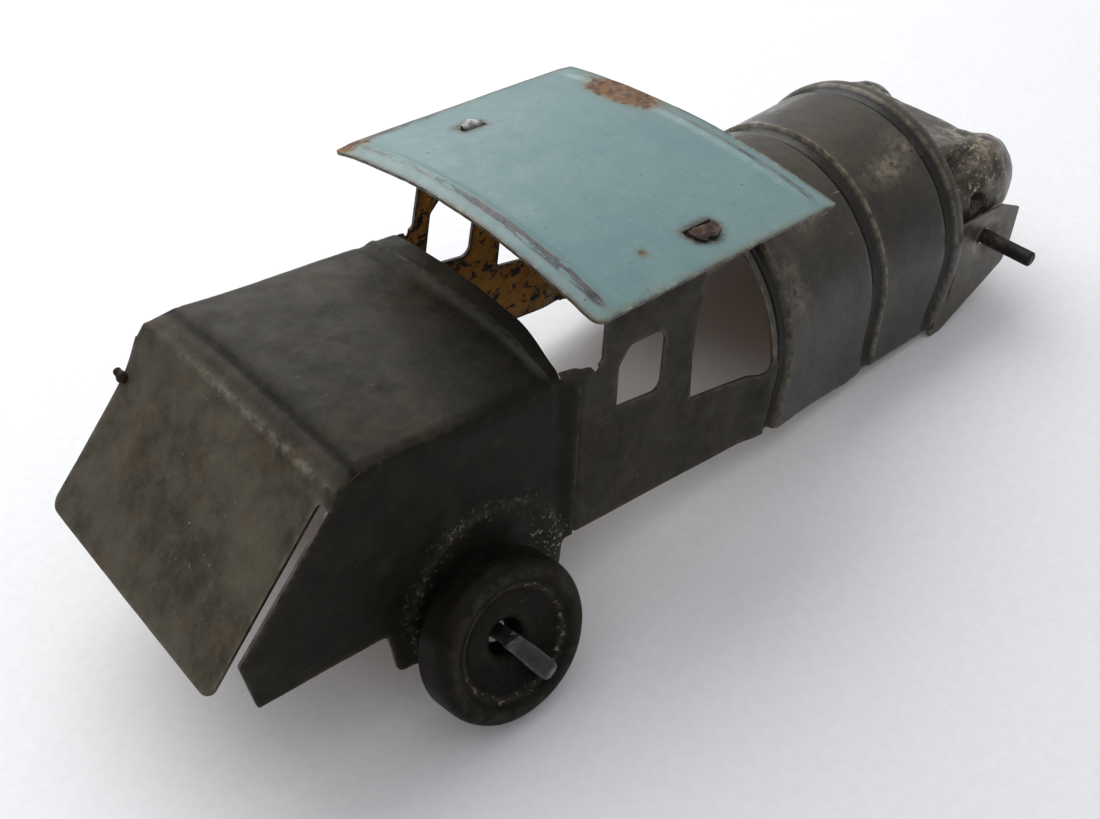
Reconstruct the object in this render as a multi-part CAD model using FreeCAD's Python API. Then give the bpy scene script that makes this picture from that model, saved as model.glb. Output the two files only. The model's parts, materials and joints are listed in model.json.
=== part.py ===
import FreeCAD, Part
import math
import os

# Small tinplate toy locomotive, bent up from thin sheet. Millimetres.
# X runs forward to the smokebox, Y to the left, Z up. The origin is on the table under the middle of
# the model. "near" is the -Y side, "far" the +Y side. The model stands on its two rear wheels and on
# the lower corners of its front side plates, so the bunker and cab point slightly nose-down.

NEAR = -1
FAR = 1

# ---- driving dimensions -------------------------------------------------------------------------
SHEET = 0.30                # tinplate thickness
PITCH = 7.3                 # nose-down slope of bunker, cab and roof, degrees
REAR_END = -43.2            # rearmost point of the tail, before centring
NOSE_END = 64.2             # frontmost point of the smokebox bulges, before centring

# Bunker and cab, in their own sloping frame
WALL_HALF = 13.0            # half width of the walls at fold height
WALL_FLARE = 0.09           # the walls open out downwards by this much per mm
FOLD_Z = 23.2               # height of the folded top edges
ROOF_RISE = 0.95            # arch of the bunker top
SILL_Z = 6.4                # lower edge of the walls
BEND_X = -31.1              # top end of the bunker, where the tail bends down
LIP_X = -9.6                # front edge of the bunker top
LIP_WIDTH = 2.4             # raised strip that laps the cab sides
LIP_STEP = 0.45
TAIL_TOP = (-32.8, 21.5)    # X, Z of the lower crease of the bend
TAIL_TIP = (-44.5, 7.8)     # X, Z of the lower edge of the tail
TAIL_HALF_TOP = {NEAR: 11.9, FAR: 12.9}    # half-widths just below the crease
TAIL_HALF_TIP = 12.85
TAIL_SLIT_R = {NEAR: 0.5, FAR: 0.15}       # corner radius at the top of each slit
SLIT_DROP = 1.1             # the slits beside the tail start this far below the crease
BOSS_X = -19.2              # round boss pressed into each bunker wall, round the axle
BOSS_Z = 6.0
BOSS_R = 9.3
BOSS_STEP = 0.6
NEAR_WINDOW_TOP = 23.6      # height of the cab windows
FAR_WINDOW_TOP = 25.8
RIM_X = 15.3                # rear edge of the boiler, seen as the front of the door
RIM_JOINT_X = 17.9          # the rim ring ends and the level boiler starts
RIM_R = 14.85
CAB_FRONT_X = 16.1          # the cab sides end under the rim ring
RIM_CENTRE_Z = 12.0

# Roof, in the same sloping frame
ROOF_MID = (2.5, 1.0)       # it sits a little towards the far side
ROOF_LENGTH = 29.0
ROOF_HALF = 17.0
ROOF_EDGE_Z = 31.15         # height of its two side edges, midway along
ROOF_ARCH = 1.9             # rise of its crown over the side edges
ROOF_YAW = 0.8              # degrees, turned about the vertical
ROOF_TILT = 3.3             # degrees, front edge raised from the slope of the cab
RIB_INSET = 2.0             # one pressed rib along each end of the roof
RIB_WIDTH = 0.9
RIB_RISE = 0.35

# Tabs of the cab sides that come up through the roof and are bent over outwards
TAB_X = {NEAR: 3.4, FAR: -1.0}
TAB_LENGTH = {NEAR: 3.0, FAR: 2.2}
TAB_FLAP = {NEAR: 1.7, FAR: 1.1}
TAB_GAP = 0.06              # the bent tab lies this far above the roof

# Boiler and smokebox, level
BOILER_Z = 9.7              # axis height
BOILER_END = 48.4
BOILER_FOOT_Z = 1.2         # lower edge of the boiler sheet
BULGE = (57.3, 8.0, 12.2)   # centre of one smokebox bulge
BULGE_HALF = (6.85, 4.5, 6.1)
PLATE_Y = 13.9              # outer face of the front side plates at the height of the rod
PLATE_SPLAY = 3.7           # degrees, the plates' feet stand out
DIMPLE_R = 2.4              # round dimple pressed inwards round each end of the rod
DIMPLE_FLOOR_R = 1.6
DIMPLE_DEPTH = 0.7
FRONT_TRIM = (6.8, 1.95)    # height and length cut off the lower front corners of the boiler
ROD_X = 54.8
ROD_Z = 9.2
ROD_R = 0.85
ROD_NECK_R = 0.66           # the rod is thinner between the plates
ROD_NECK_Y = 12.93          # each full-size end starts within its plate
ROD_END_Y = 19.5
ROD_CHAMFER = 0.12
RUNNING_GAP = 0.05

# Wheels
WHEEL_R = 7.45
WHEEL_WIDTH = 3.45
REAR_HUB = (-20.35, 21.0, 8.16)   # outer rim plane on the axle line, far side
CAMBER = 18.0               # the loose rear wheels lean outwards at the foot, degrees
REAR_HOLE_R = 1.3
STRIP_WIDTH = 1.5
STRIP_BEND_Y = 14.0
TONGUE_LENGTH = 5.2
TONGUE_SWING = 27.0         # degrees forward of straight down
TONGUE_DEPTH = 0.95         # back of the tongue below the rim plane, at the hub
TONGUE_TILT = 7.0           # the tongue rises outwards to clear the ring of the dish, degrees

CENTRE_X = (REAR_END + NOSE_END) / 2

V = FreeCAD.Vector


# ---- general helpers ------------------------------------------------------------------------------
def outline_face(corners, to_vector):
    """Face inside a closed outline of (u, v) or (u, v, corner_radius) points, laid out by to_vector."""
    corners = [tuple(c) + (0.0,) * (3 - len(c)) for c in corners]
    ends = []
    for i, (u, v, radius) in enumerate(corners):
        here = V(u, v, 0)
        back = V(*corners[i - 1][:2], 0) - here
        ahead = V(*corners[(i + 1) % len(corners)][:2], 0) - here
        if radius == 0:
            ends.append((here, None, here))
            continue
        back.normalize()
        ahead.normalize()
        half = back.getAngle(ahead) / 2
        reach = radius / math.tan(half)
        bisector = (back + ahead).normalize()
        crown = here + bisector * (radius / math.sin(half) - radius)
        ends.append((here + back * reach, crown, here + ahead * reach))
    edges = []
    for i, (start, crown, end) in enumerate(ends):
        if crown is not None:
            edges.append(Part.Arc(to_vector(start), to_vector(crown), to_vector(end)).toShape())
        following = ends[(i + 1) % len(ends)][0]
        if (following - end).Length > 1e-6:
            edges.append(Part.LineSegment(to_vector(end), to_vector(following)).toShape())
    return Part.Face(Part.Wire(edges))


def side_prism(corners, y_from, y_to):
    """Prism along Y over an outline in X and Z."""
    face = outline_face(corners, lambda p: V(p.x, y_from, p.y))
    return face.extrude(V(0, y_to - y_from, 0))


def cross_prism(corners, x_from, x_to):
    """Prism along X over an outline in Y and Z."""
    face = outline_face(corners, lambda p: V(x_from, p.x, p.y))
    return face.extrude(V(x_to - x_from, 0, 0))


def box(x_range, y_range, z_range):
    """Box between (low, high) limits along each axis."""
    corner = V(x_range[0], y_range[0], z_range[0])
    return Part.makeBox(
        x_range[1] - x_range[0], y_range[1] - y_range[0], z_range[1] - z_range[0], corner
    )


def sloped(shape):
    """From the sloping frame of bunker and cab to the level frame."""
    turned = shape.copy()
    turned.rotate(V(0, 0, 0), V(0, 1, 0), PITCH)
    return turned


def mirrored(shape):
    """The same form on the other side of the model."""
    return shape.mirror(V(0, 0, 0), V(0, 1, 0))


def wall_half(z):
    """Half width over the flared walls of bunker and cab at a height."""
    return WALL_HALF + WALL_FLARE * (FOLD_Z - z)


def wall_slab(side, x_range, z_range, inset=0.0, thickness=SHEET):
    """Inclined side wall sheet. Its outer face is the wall plane, moved in by inset."""
    outer = [(side * (wall_half(z) - inset), z) for z in z_range]
    inner = [(y - side * thickness, z) for y, z in reversed(outer)]
    return cross_prism(outer + inner, *x_range)


def press_round(sheet, centre, axis, radii, height, clip):
    """Press a round flat-topped form out of a sheet, along axis from the sheet's outer face."""
    r_base, r_top = radii
    outer = Part.makeCone(r_base, r_top, height, centre, axis)
    thinner = 0.4 * SHEET
    hollow = Part.makeCone(r_base - thinner, r_top - thinner, height, centre - axis * SHEET, axis)
    return sheet.fuse(outer.common(clip)).cut(hollow)


# ---- bunker with its tail -------------------------------------------------------------------------
def bunker_section(grow):
    """Closed outline of the bunker in Y and Z, moved outwards by grow."""
    low = -3.0
    corner = 1.15
    half_low = wall_half(low) + grow
    half_corner = wall_half(FOLD_Z - corner) + grow
    half_top = wall_half(FOLD_Z) - corner * 0.8 + 0.5 * grow
    crown_z = FOLD_Z + ROOF_RISE + grow
    shoulder = corner * 0.3
    points = {}
    for side in (NEAR, FAR):
        points[side] = [
            V(0, side * half_low, low),
            V(0, side * half_corner, FOLD_Z - corner),
            V(0, side * (half_corner - shoulder + 0.05), FOLD_Z - shoulder + 0.2 + 0.75 * grow),
            V(0, side * half_top, FOLD_Z + grow + 0.12),
        ]
    near, far = points[NEAR], points[FAR]
    edges = [
        Part.LineSegment(near[0], near[1]).toShape(),
        Part.Arc(near[1], near[2], near[3]).toShape(),
        Part.Arc(near[3], V(0, 0, crown_z), far[3]).toShape(),
        Part.Arc(far[3], far[2], far[1]).toShape(),
        Part.LineSegment(far[1], far[0]).toShape(),
        Part.LineSegment(far[0], near[0]).toShape(),
    ]
    return Part.Face(Part.Wire(edges))


def section_run(outer_grow, inner_grow, x_from, x_to):
    """Run of sheet between two outlines of the bunker section."""
    run = []
    for grow in (outer_grow, inner_grow):
        face = bunker_section(grow)
        face.translate(V(x_from, 0, 0))
        run.append(face.extrude(V(x_to - x_from, 0, 0)))
    run[1].translate(V(0, 0, -0.01 if inner_grow > outer_grow else 0))
    return run[0].cut(run[1])


def tail_flap():
    """The flap bent down from the bunker top, with a slit along each side."""
    down = V(TAIL_TIP[0] - TAIL_TOP[0], 0, TAIL_TIP[1] - TAIL_TOP[1])
    length = down.Length
    down.normalize()
    normal = V(down.z, 0, -down.x)
    top = V(TAIL_TOP[0], 0, TAIL_TOP[1])
    full = wall_half(TAIL_TOP[1]) + 0.5

    def in_plane(p):
        return top + down * p.y + V(0, p.x, 0)

    corners = [
        (-full, -0.05),
        (full, -0.05),
        (full, SLIT_DROP),
        (TAIL_HALF_TOP[FAR], SLIT_DROP, TAIL_SLIT_R[FAR]),
        (TAIL_HALF_TIP, length, 0.9),
        (-TAIL_HALF_TIP, length, 0.9),
        (-TAIL_HALF_TOP[NEAR], SLIT_DROP, TAIL_SLIT_R[NEAR]),
        (-full, SLIT_DROP),
    ]
    plate = outline_face(corners, in_plane).extrude(normal * -SHEET)

    # The bend turns the arched bunker top into the flat tail.
    edge_z = FOLD_Z - 0.1
    arch_x = BEND_X + 0.15
    arch = [V(arch_x, -full, edge_z), V(arch_x, 0, FOLD_Z + ROOF_RISE), V(arch_x, full, edge_z)]
    crease = [top + V(0, -full, 0), top + V(0, 0, 0), top + V(0, full, 0)]

    def strip_wire(line, inward, curved):
        """Outline of the sheet's edge along a line, straight or arched."""
        under = [p + inward for p in line]
        if curved:
            upper_edge = Part.Arc(*line).toShape()
            under_edge = Part.Arc(*reversed(under)).toShape()
        else:
            upper_edge = Part.LineSegment(line[0], line[2]).toShape()
            under_edge = Part.LineSegment(under[2], under[0]).toShape()
        joins = [
            Part.LineSegment(line[2], under[2]).toShape(),
            Part.LineSegment(under[0], line[0]).toShape(),
        ]
        return Part.Wire([upper_edge, joins[0], under_edge, joins[1]])

    wires = [strip_wire(arch, V(0, 0, -SHEET), True), strip_wire(crease, normal * -SHEET, False)]
    bend = Part.makeLoft(wires, True, True)
    inside = bunker_section(0.0)
    inside.translate(V(TAIL_TIP[0] - 1.0, 0, 0))
    inside = inside.extrude(V(40.0, 0, 0))
    return plate.fuse(bend).common(inside)


def bunker_outline(side):
    """Side view of a bunker wall and its axle guard; the far wall is tucked in under the tail."""
    rear_edge = {
        NEAR: [(-34.3, 21.6, 0.4), (-42.9, 10.9, 0.6), (-41.8, SILL_Z - 0.1, 0.3)],
        FAR: [(-34.3, 21.6, 0.3), (-33.9, 20.5), (-33.0, 20.3, 0.2), (-41.1, 8.2, 0.6),
              (-40.6, SILL_Z - 0.1, 0.3)],
    }
    return [
        (LIP_X, 40.0),
        (BEND_X, 40.0),
        (BEND_X, FOLD_Z + 1.0),
        *rear_edge[side],
        (-29.4, SILL_Z - 0.1, 0.8),
        (-28.5, 1.7, 0.9),
        (-12.6, 1.7, 1.2),
        (-11.1, 4.0, 1.0),
        (-10.9, SILL_Z, 0.6),
        (LIP_X, SILL_Z),
    ]


def bunker_pressing():
    """Top, both walls, lip, axle guards and tail, bent from one sheet."""
    near_half = side_prism(bunker_outline(NEAR), -30, 0)
    silhouette = near_half.fuse(side_prism(bunker_outline(FAR), 0, 30))
    lip_start = LIP_X - LIP_WIDTH
    run = section_run(0.0, -SHEET, TAIL_TIP[0], lip_start)
    step = section_run(LIP_STEP, -SHEET, lip_start, lip_start + SHEET)
    lip = section_run(LIP_STEP, LIP_STEP - SHEET, lip_start + SHEET, LIP_X)
    sheet = run.fuse([step, lip])
    for side in (NEAR, FAR):
        axis = V(0, side, WALL_FLARE).normalize()
        centre = V(BOSS_X, side * wall_half(BOSS_Z), BOSS_Z)
        sheet = press_round(sheet, centre, axis, (BOSS_R, BOSS_R - 0.6), BOSS_STEP, silhouette)
    sheet = sheet.common(silhouette).fuse(tail_flap())
    level = sloped(sheet)
    hub_x, _, _ = REAR_HUB
    slot_z = strip_level()
    slot = box((hub_x - 1.0, hub_x + 1.0), (-30, 30), (slot_z - 0.35, slot_z + 0.75))
    return level.cut(slot)


# ---- cab sides ------------------------------------------------------------------------------------
def roof_space():
    """Everything above the underside of the roof, in the sloping frame."""
    return roof_body(-SHEET, 20.0)


def cab_side(side, window_top):
    """Cab wall with its window and doorway, from the bunker lip to the boiler rim."""
    start = LIP_X - LIP_WIDTH + SHEET
    wall = [
        (start, SILL_Z + 0.1),
        (CAB_FRONT_X, SILL_Z - 0.3),
        (CAB_FRONT_X, 13.2),
        (15.6, 13.2, 0.5),
        (4.6, 14.6, 0.4),
        (4.3, 19.0, 3.0),
        (5.6, 34.0),
        (-6.8, 34.0),
        (-7.4, FOLD_Z + 0.3, 1.2),
        (start, FOLD_Z + 0.3),
    ]
    window = [
        (-5.1, 17.8, 0.2),
        (0.4, 17.4, 1.0),
        (0.5, window_top, 1.3),
        (-3.9, window_top - 0.1, 1.0),
        (-5.1, window_top - 1.8, 0.8),
    ]
    x_range = (start - 1, RIM_JOINT_X + 1)
    slab = wall_slab(side, x_range, (0.0, 36.0))
    plate = side_prism(wall, -30, 30).cut(side_prism(window, -31, 31)).common(slab)
    fold = section_run(0.0, -5.0, start - 0.5, LIP_X + 3.0)
    above_fold = box((start - 1, -7.6), (-30, 30), (FOLD_Z - 1.2, FOLD_Z + 2))
    outside = above_fold.cut(fold)
    plate = plate.cut(outside).cut(roof_space())
    return plate.fuse(roof_tab(side))


def roof_tab(side):
    """Tab of the cab wall that comes up through the roof and is bent over outwards."""
    middle = TAB_X[side]
    half = TAB_LENGTH[side] / 2
    x_range = (middle - half, middle + half)
    y_top = side * wall_half(ROOF_EDGE_Z)
    roof_z = roof_top_at(middle, y_top)
    top = roof_z + TAB_GAP
    stem = wall_slab(side, x_range, (30.0, top + SHEET - 0.05))
    y_wall = wall_half(top)
    flap = box(x_range, (0.0, TAB_FLAP[side]), (0.0, SHEET))
    flap.translate(V(0, y_wall - SHEET, top))
    flap.rotate(V(middle, y_wall, top), V(1, 0, 0), -roof_slope(y_top))
    flap = flap if side == FAR else mirrored(flap)
    flap.rotate(V(middle, 0, top), V(0, 1, 0), -ROOF_TILT)
    return stem.fuse(flap)


# ---- roof -----------------------------------------------------------------------------------------
def roof_top_at(x, y):
    """Height of the roof's upper face in the sloping frame."""
    along = x - ROOF_MID[0]
    across = y - ROOF_MID[1] - along * math.sin(math.radians(ROOF_YAW))
    rise = ROOF_ARCH * (1 - (across / ROOF_HALF) ** 2)
    return ROOF_EDGE_Z + rise + along * math.tan(math.radians(ROOF_TILT))


def roof_slope(y):
    """Degrees the roof falls away towards the side, at a distance y from the middle."""
    return math.degrees(math.atan(2 * ROOF_ARCH * abs(y - ROOF_MID[1]) / ROOF_HALF ** 2))


def roof_body(lift, thickness_up, x_range=None):
    """Arched slab above (or, for a negative thickness, below) the roof's upper face moved up by lift."""
    x_from, x_to = x_range or (-ROOF_LENGTH / 2, ROOF_LENGTH / 2)
    edge_z = ROOF_EDGE_Z + lift
    crown = V(x_from, 0, edge_z + ROOF_ARCH)
    line = [V(x_from, -ROOF_HALF, edge_z), crown, V(x_from, ROOF_HALF, edge_z)]
    lifted = [p + V(0, 0, thickness_up) for p in line]
    edges = [
        Part.Arc(*line).toShape(),
        Part.LineSegment(line[2], lifted[2]).toShape(),
        Part.Arc(*reversed(lifted)).toShape(),
        Part.LineSegment(lifted[0], line[0]).toShape(),
    ]
    body = Part.Face(Part.Wire(edges)).extrude(V(x_to - x_from, 0, 0))
    body.rotate(V(0, 0, 0), V(0, 0, 1), ROOF_YAW)
    body.rotate(V(0, 0, ROOF_EDGE_Z), V(0, 1, 0), -ROOF_TILT)
    body.translate(V(*ROOF_MID, 0))
    return body


def roof_sheet():
    """Arched roof with two pressed ribs and a slit for each tab."""
    sheet = roof_body(0.0, -SHEET)
    for end in (-1, 1):
        middle = end * (ROOF_LENGTH / 2 - RIB_INSET)
        x_range = (middle - RIB_WIDTH / 2, middle + RIB_WIDTH / 2)
        sheet = sheet.fuse(roof_body(RIB_RISE, -RIB_RISE - SHEET / 3, x_range))
    for side in (NEAR, FAR):
        half = TAB_LENGTH[side] / 2 + 0.25
        x_range = (TAB_X[side] - half, TAB_X[side] + half)
        sheet = sheet.cut(wall_slab(side, x_range, (29.0, 35.0), -0.12, SHEET + 0.24))
    return sloped(sheet)


# ---- boiler ---------------------------------------------------------------------------------------
def horseshoe(profile, foot_z, centre_z):
    """Horseshoe sheet: the profile is (x, outer radius) points along the boiler."""
    inner = [(x, r - SHEET) for x, r in reversed(profile)]
    loop = profile + inner
    points = [V(x, r, centre_z) for x, r in loop]
    face = Part.Face(Part.makePolygon(points + points[:1]))
    arch = face.revolve(V(0, 0, centre_z), V(1, 0, 0), 180)
    leg = face.extrude(V(0, 0, foot_z - centre_z))
    return arch.fuse([leg, mirrored(leg)])


def boiler_shell():
    """Sloping rim ring and level barrel, open underneath, with pressed beads."""
    rim_profile = [
        (RIM_X - 2.0, RIM_R),
        (16.4, RIM_R),
        (16.8, RIM_R - 0.4),
        (17.2, RIM_R - 0.35),
        (17.6, RIM_R + 0.3),
        (19.5, 15.2),
    ]
    rim = horseshoe(rim_profile, SILL_Z - 0.4, RIM_CENTRE_Z)
    behind_rim = box((-40, RIM_X), (-30, 30), (-30, 60))
    past_joint = box((RIM_JOINT_X, 60), (-30, 30), (-30, 60))
    rim = sloped(rim.cut([behind_rim, past_joint]))

    barrel_profile = [
        (14.0, 15.15),
        (20.0, 14.95),
        (27.0, 14.25),
        (34.0, 13.8),
        (34.4, 13.35),
        (35.2, 13.35),
        (35.6, 14.0),
        (36.4, 13.95),
        (45.6, 14.1),
        (46.0, 13.8),
        (46.7, 13.85),
        (47.2, 14.5),
        (BOILER_END, 14.5),
    ]
    barrel = horseshoe(barrel_profile, BOILER_FOOT_Z, BOILER_Z)
    barrel = barrel.cut(sloped(box((-60, RIM_JOINT_X), (-40, 40), (-60, 80))))
    under = side_prism([(14, -5), (50, -5), (50, 1.2), (31, 1.6), (20.3, 3.4), (14, 4.4)], -40, 40)
    height, length = FRONT_TRIM
    foot = BOILER_FOOT_Z
    trim = [
        (BOILER_END + 1, 0),
        (BOILER_END + 1, foot + height),
        (BOILER_END, foot + height),
        (BOILER_END - length, foot),
        (BOILER_END - length, 0),
    ]
    return barrel.cut([under, side_prism(trim, -40, 40)]).fuse(rim)


# ---- smokebox front with its side plates ------------------------------------------------------------
def ellipsoid(centre, half):
    """Egg with the given half sizes."""
    ball = Part.makeSphere(1.0)
    matrix = FreeCAD.Matrix()
    matrix.scale(*half)
    ball = ball.transformGeometry(matrix)
    ball.translate(V(*centre))
    return ball


def nose_solid(inset):
    """Middle wedge and the two bulges, all moved in by inset."""
    wedge = [
        (40.0, 21.0 - inset),
        (59.4 - 0.4 * inset, 17.5 - inset),
        (61.0 - inset, 14.6 - 0.4 * inset),
        (61.6 - inset, 6.0),
        (61.6 - inset, -6.0),
        (40.0, -6.0),
    ]
    half_width = BULGE[1] - inset
    body = side_prism(wedge, -half_width, half_width)
    half = [h - inset for h in BULGE_HALF]
    for side in (NEAR, FAR):
        body = body.fuse(ellipsoid((BULGE[0], side * BULGE[1], BULGE[2]), half))
    return body


def plate_outline():
    """Side view of a front plate."""
    height, length = FRONT_TRIM
    return [
        (BOILER_END, 13.4),
        (56.8, 12.7, 0.8),
        (60.4, 10.9, 0.3),
        (59.8, 6.8, 1.5),
        (58.9, 4.4, 1.0),
        (47.9, 0.0, 0.3),
        (46.2, 0.0, 0.3),
        (45.6, 1.1),
        (BOILER_END - length + 0.1, 1.1),
        (BOILER_END + 0.05, 1.1 + height),
    ]


def smokebox_front():
    """Bulged nose, the wall that closes the boiler, and both side plates with the rod's holes."""
    nose = nose_solid(0.0).cut(nose_solid(SHEET))
    nose = nose.common(box((BOILER_END, 70), (-30, 30), (6.6, 40)))
    wall_outline = horseshoe_solid(14.3)
    end_wall = wall_outline.cut(nose_solid(SHEET))
    front = nose.fuse(end_wall)
    around = box((40, 70), (-30, 30), (-1, 30))
    for side in (NEAR, FAR):
        y_range = sorted((side * PLATE_Y, side * (PLATE_Y - SHEET)))
        plate = side_prism(plate_outline(), *y_range)
        centre = V(ROD_X, side * (PLATE_Y - SHEET), ROD_Z)
        radii = (DIMPLE_R, DIMPLE_FLOOR_R)
        plate = press_round(plate, centre, V(0, -side, 0), radii, DIMPLE_DEPTH, around)
        plate.rotate(V(0, side * PLATE_Y, ROD_Z), V(1, 0, 0), side * PLATE_SPLAY)
        front = front.fuse(plate)
    hole = Part.makeCylinder(ROD_R + RUNNING_GAP, 60, V(ROD_X, -30, ROD_Z), V(0, 1, 0))
    inner_gap = Part.makeCylinder(ROD_R + 0.5, 24, V(ROD_X, -12, ROD_Z), V(0, 1, 0))
    return front.cut([hole, inner_gap])


def horseshoe_solid(radius):
    """Flat horseshoe plate that closes the front of the boiler."""
    arch = Part.makeCylinder(radius, SHEET, V(BOILER_END, 0, BOILER_Z), V(1, 0, 0))
    leg = box((BOILER_END, BOILER_END + SHEET), (-radius, radius), (2.0, BOILER_Z))
    below = box((BOILER_END - 1, BOILER_END + 1), (-30, 30), (-30, 2.0))
    return arch.fuse(leg).cut(below)


# ---- wheels and axles -------------------------------------------------------------------------------
def wheel(hole_radius):
    """Deep pressed dish. Axis +Z, outer rim plane at Z = 0, open at the back."""
    hub = hole_radius + 0.55
    outer = [
        (WHEEL_R, -WHEEL_WIDTH),
        (WHEEL_R, -0.9),
        (WHEEL_R - 0.15, -0.35),
        (WHEEL_R - 0.55, 0.0),
        (6.5, 0.0),
        (5.9, -0.45),
        (5.4, -0.35),
        (5.0, -0.6),
        (4.0, -1.25),
        (hub + 0.5, -1.45),
        (hub, -1.2),
        (hole_radius, -1.0),
    ]
    tyre = [(r - SHEET, z) for r, z in outer[:3]]
    disc = [(r, z - SHEET) for r, z in outer[3:]]
    disc[0] = (WHEEL_R - 2 * SHEET, -SHEET)
    loop = outer + (tyre + disc)[::-1]
    points = [V(r, 0, z) for r, z in loop]
    face = Part.Face(Part.makePolygon(points + points[:1]))
    return face.revolve(V(0, 0, 0), V(0, 0, 1), 360)


def hub_axis(side):
    """Outward axis of a rear wheel."""
    lean = math.radians(CAMBER)
    return V(0, side * math.cos(lean), math.sin(lean))


def hub_point(side):
    """Middle of a rear wheel's outer rim plane."""
    x, y, z = REAR_HUB
    return V(x, side * y, z)


def strip_level():
    """Height of the rear axle strip where it crosses the bunker."""
    return REAR_HUB[2] - (REAR_HUB[1] - STRIP_BEND_Y) * math.tan(math.radians(CAMBER))


def rear_axle_strip():
    """Flat tin strip through both guards, its ends bent over outside the wheels."""
    level = strip_level()
    axis = hub_axis(FAR)
    tip = hub_point(FAR) - axis * (TONGUE_DEPTH - SHEET)
    rise = V(0, -axis.z, axis.y) * SHEET
    bend = V(0, STRIP_BEND_Y, level)
    start_x = REAR_HUB[0] - STRIP_WIDTH / 2
    under = [V(0, -bend.y, bend.z), bend, V(0, tip.y, tip.z)]
    lifted = V(0, 0, SHEET / math.cos(math.radians(CAMBER)))
    loop = [
        under[1],
        under[2],
        under[2] + rise,
        under[1] + lifted,
        under[0] + lifted,
        V(0, -under[2].y, under[2].z) + V(0, -rise.y, rise.z),
        V(0, -under[2].y, under[2].z),
        under[0],
    ]
    strip = cross_prism([(p.y, p.z) for p in loop], start_x, start_x + STRIP_WIDTH)
    for side in (NEAR, FAR):
        strip = strip.fuse(tongue(side))
    return strip


def tongue(side):
    """End of the axle strip, bent over in front of the wheel's hub."""
    axis = hub_axis(side)
    down = V(0, axis.z * side, -axis.y * side)
    swing = math.radians(TONGUE_SWING)
    along = down * math.cos(swing) + V(math.sin(swing), 0, 0)
    across = axis.cross(along)
    tilt = math.radians(TONGUE_TILT)
    rising = along * math.cos(tilt) + axis * math.sin(tilt)
    outward = axis * math.cos(tilt) - along * math.sin(tilt)
    base = hub_point(side) - axis * TONGUE_DEPTH

    def in_plane(p):
        return base + across * p.x + rising * p.y

    half = STRIP_WIDTH / 2
    corners = [(-half, -0.3), (half, -0.3), (half, TONGUE_LENGTH, 0.6), (-half, TONGUE_LENGTH, 0.6)]
    return outline_face(corners, in_plane).extrude(outward * SHEET)


def rear_wheel(side):
    dish = wheel(REAR_HOLE_R)
    dish.Placement = FreeCAD.Placement(hub_point(side), FreeCAD.Rotation(V(0, 0, 1), hub_axis(side)))
    return dish


def front_axle_rod():
    """Round rod whose two ends stand out as journals for wheels."""
    half = [
        (ROD_NECK_R, 0.0),
        (ROD_NECK_R, ROD_NECK_Y),
        (ROD_R, ROD_NECK_Y + ROD_R - ROD_NECK_R),
        (ROD_R, ROD_END_Y - ROD_CHAMFER),
        (ROD_R - ROD_CHAMFER, ROD_END_Y),
    ]
    profile = [(0.0, -ROD_END_Y)] + [(r, -y) for r, y in half[:0:-1]] + half[1:] + [(0.0, ROD_END_Y)]
    points = [V(ROD_X + r, y, ROD_Z) for r, y in profile]
    face = Part.Face(Part.makePolygon(points + points[:1]))
    return face.revolve(V(ROD_X, 0, ROD_Z), V(0, 1, 0), 360)


# ---- the parts --------------------------------------------------------------------------------------
def parts():
    """Every part by name, in the level frame before centring."""
    return {
        "bunker_pressing": bunker_pressing(),
        "cab_side_near": sloped(cab_side(NEAR, NEAR_WINDOW_TOP)),
        "cab_side_far": sloped(cab_side(FAR, FAR_WINDOW_TOP)),
        "roof_sheet": roof_sheet(),
        "boiler_shell": boiler_shell(),
        "smokebox_front": smokebox_front(),
        "rear_axle_strip": rear_axle_strip(),
        "rear_wheel_near": rear_wheel(NEAR),
        "rear_wheel_far": rear_wheel(FAR),
        "front_axle_rod": front_axle_rod(),
    }


os.makedirs("parts", exist_ok=True)
for name, shape in parts().items():
    shape.translate(V(-CENTRE_X, 0, 0))
    shape = shape.removeSplitter()
    print(name, "solids", len(shape.Solids), "valid", shape.isValid(), "volume", round(shape.Volume, 2))
    print("   ", shape.BoundBox)
    shape.exportStep(f"parts/{name}.step")
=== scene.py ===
import json
import math

import bmesh
import bpy
import numpy as np
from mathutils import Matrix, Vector, geometry, noise


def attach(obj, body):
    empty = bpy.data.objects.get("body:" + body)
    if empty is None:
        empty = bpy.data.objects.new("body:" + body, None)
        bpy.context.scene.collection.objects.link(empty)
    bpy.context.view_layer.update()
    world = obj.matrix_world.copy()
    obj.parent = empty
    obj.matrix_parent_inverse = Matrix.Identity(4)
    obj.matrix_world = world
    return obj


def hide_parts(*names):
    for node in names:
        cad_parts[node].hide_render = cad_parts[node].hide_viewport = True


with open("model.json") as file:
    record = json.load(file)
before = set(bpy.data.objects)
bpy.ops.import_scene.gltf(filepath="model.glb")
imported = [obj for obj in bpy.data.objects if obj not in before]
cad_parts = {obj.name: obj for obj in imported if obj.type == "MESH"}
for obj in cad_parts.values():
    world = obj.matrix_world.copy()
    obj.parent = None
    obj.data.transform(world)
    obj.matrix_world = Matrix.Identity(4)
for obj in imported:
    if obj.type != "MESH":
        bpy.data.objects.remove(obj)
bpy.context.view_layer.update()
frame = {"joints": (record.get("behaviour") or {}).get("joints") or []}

# A small folded tinplate toy locomotive. Shapes are worked out in millimetres and scaled to metres as
# the meshes are made. X runs forward, Y to the far side, Z up.
MM = 0.001

# ---- sizes ----
SHEET = 0.30
PITCH = math.radians(7.3)       # bunker, cab and roof slope nose-down
SHIFT_X = -10.5                 # from the pressings' own zero to the middle of the model
NEAR, FAR = -1, 1
SIDE_NAME = {NEAR: "near", FAR: "far"}


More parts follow.
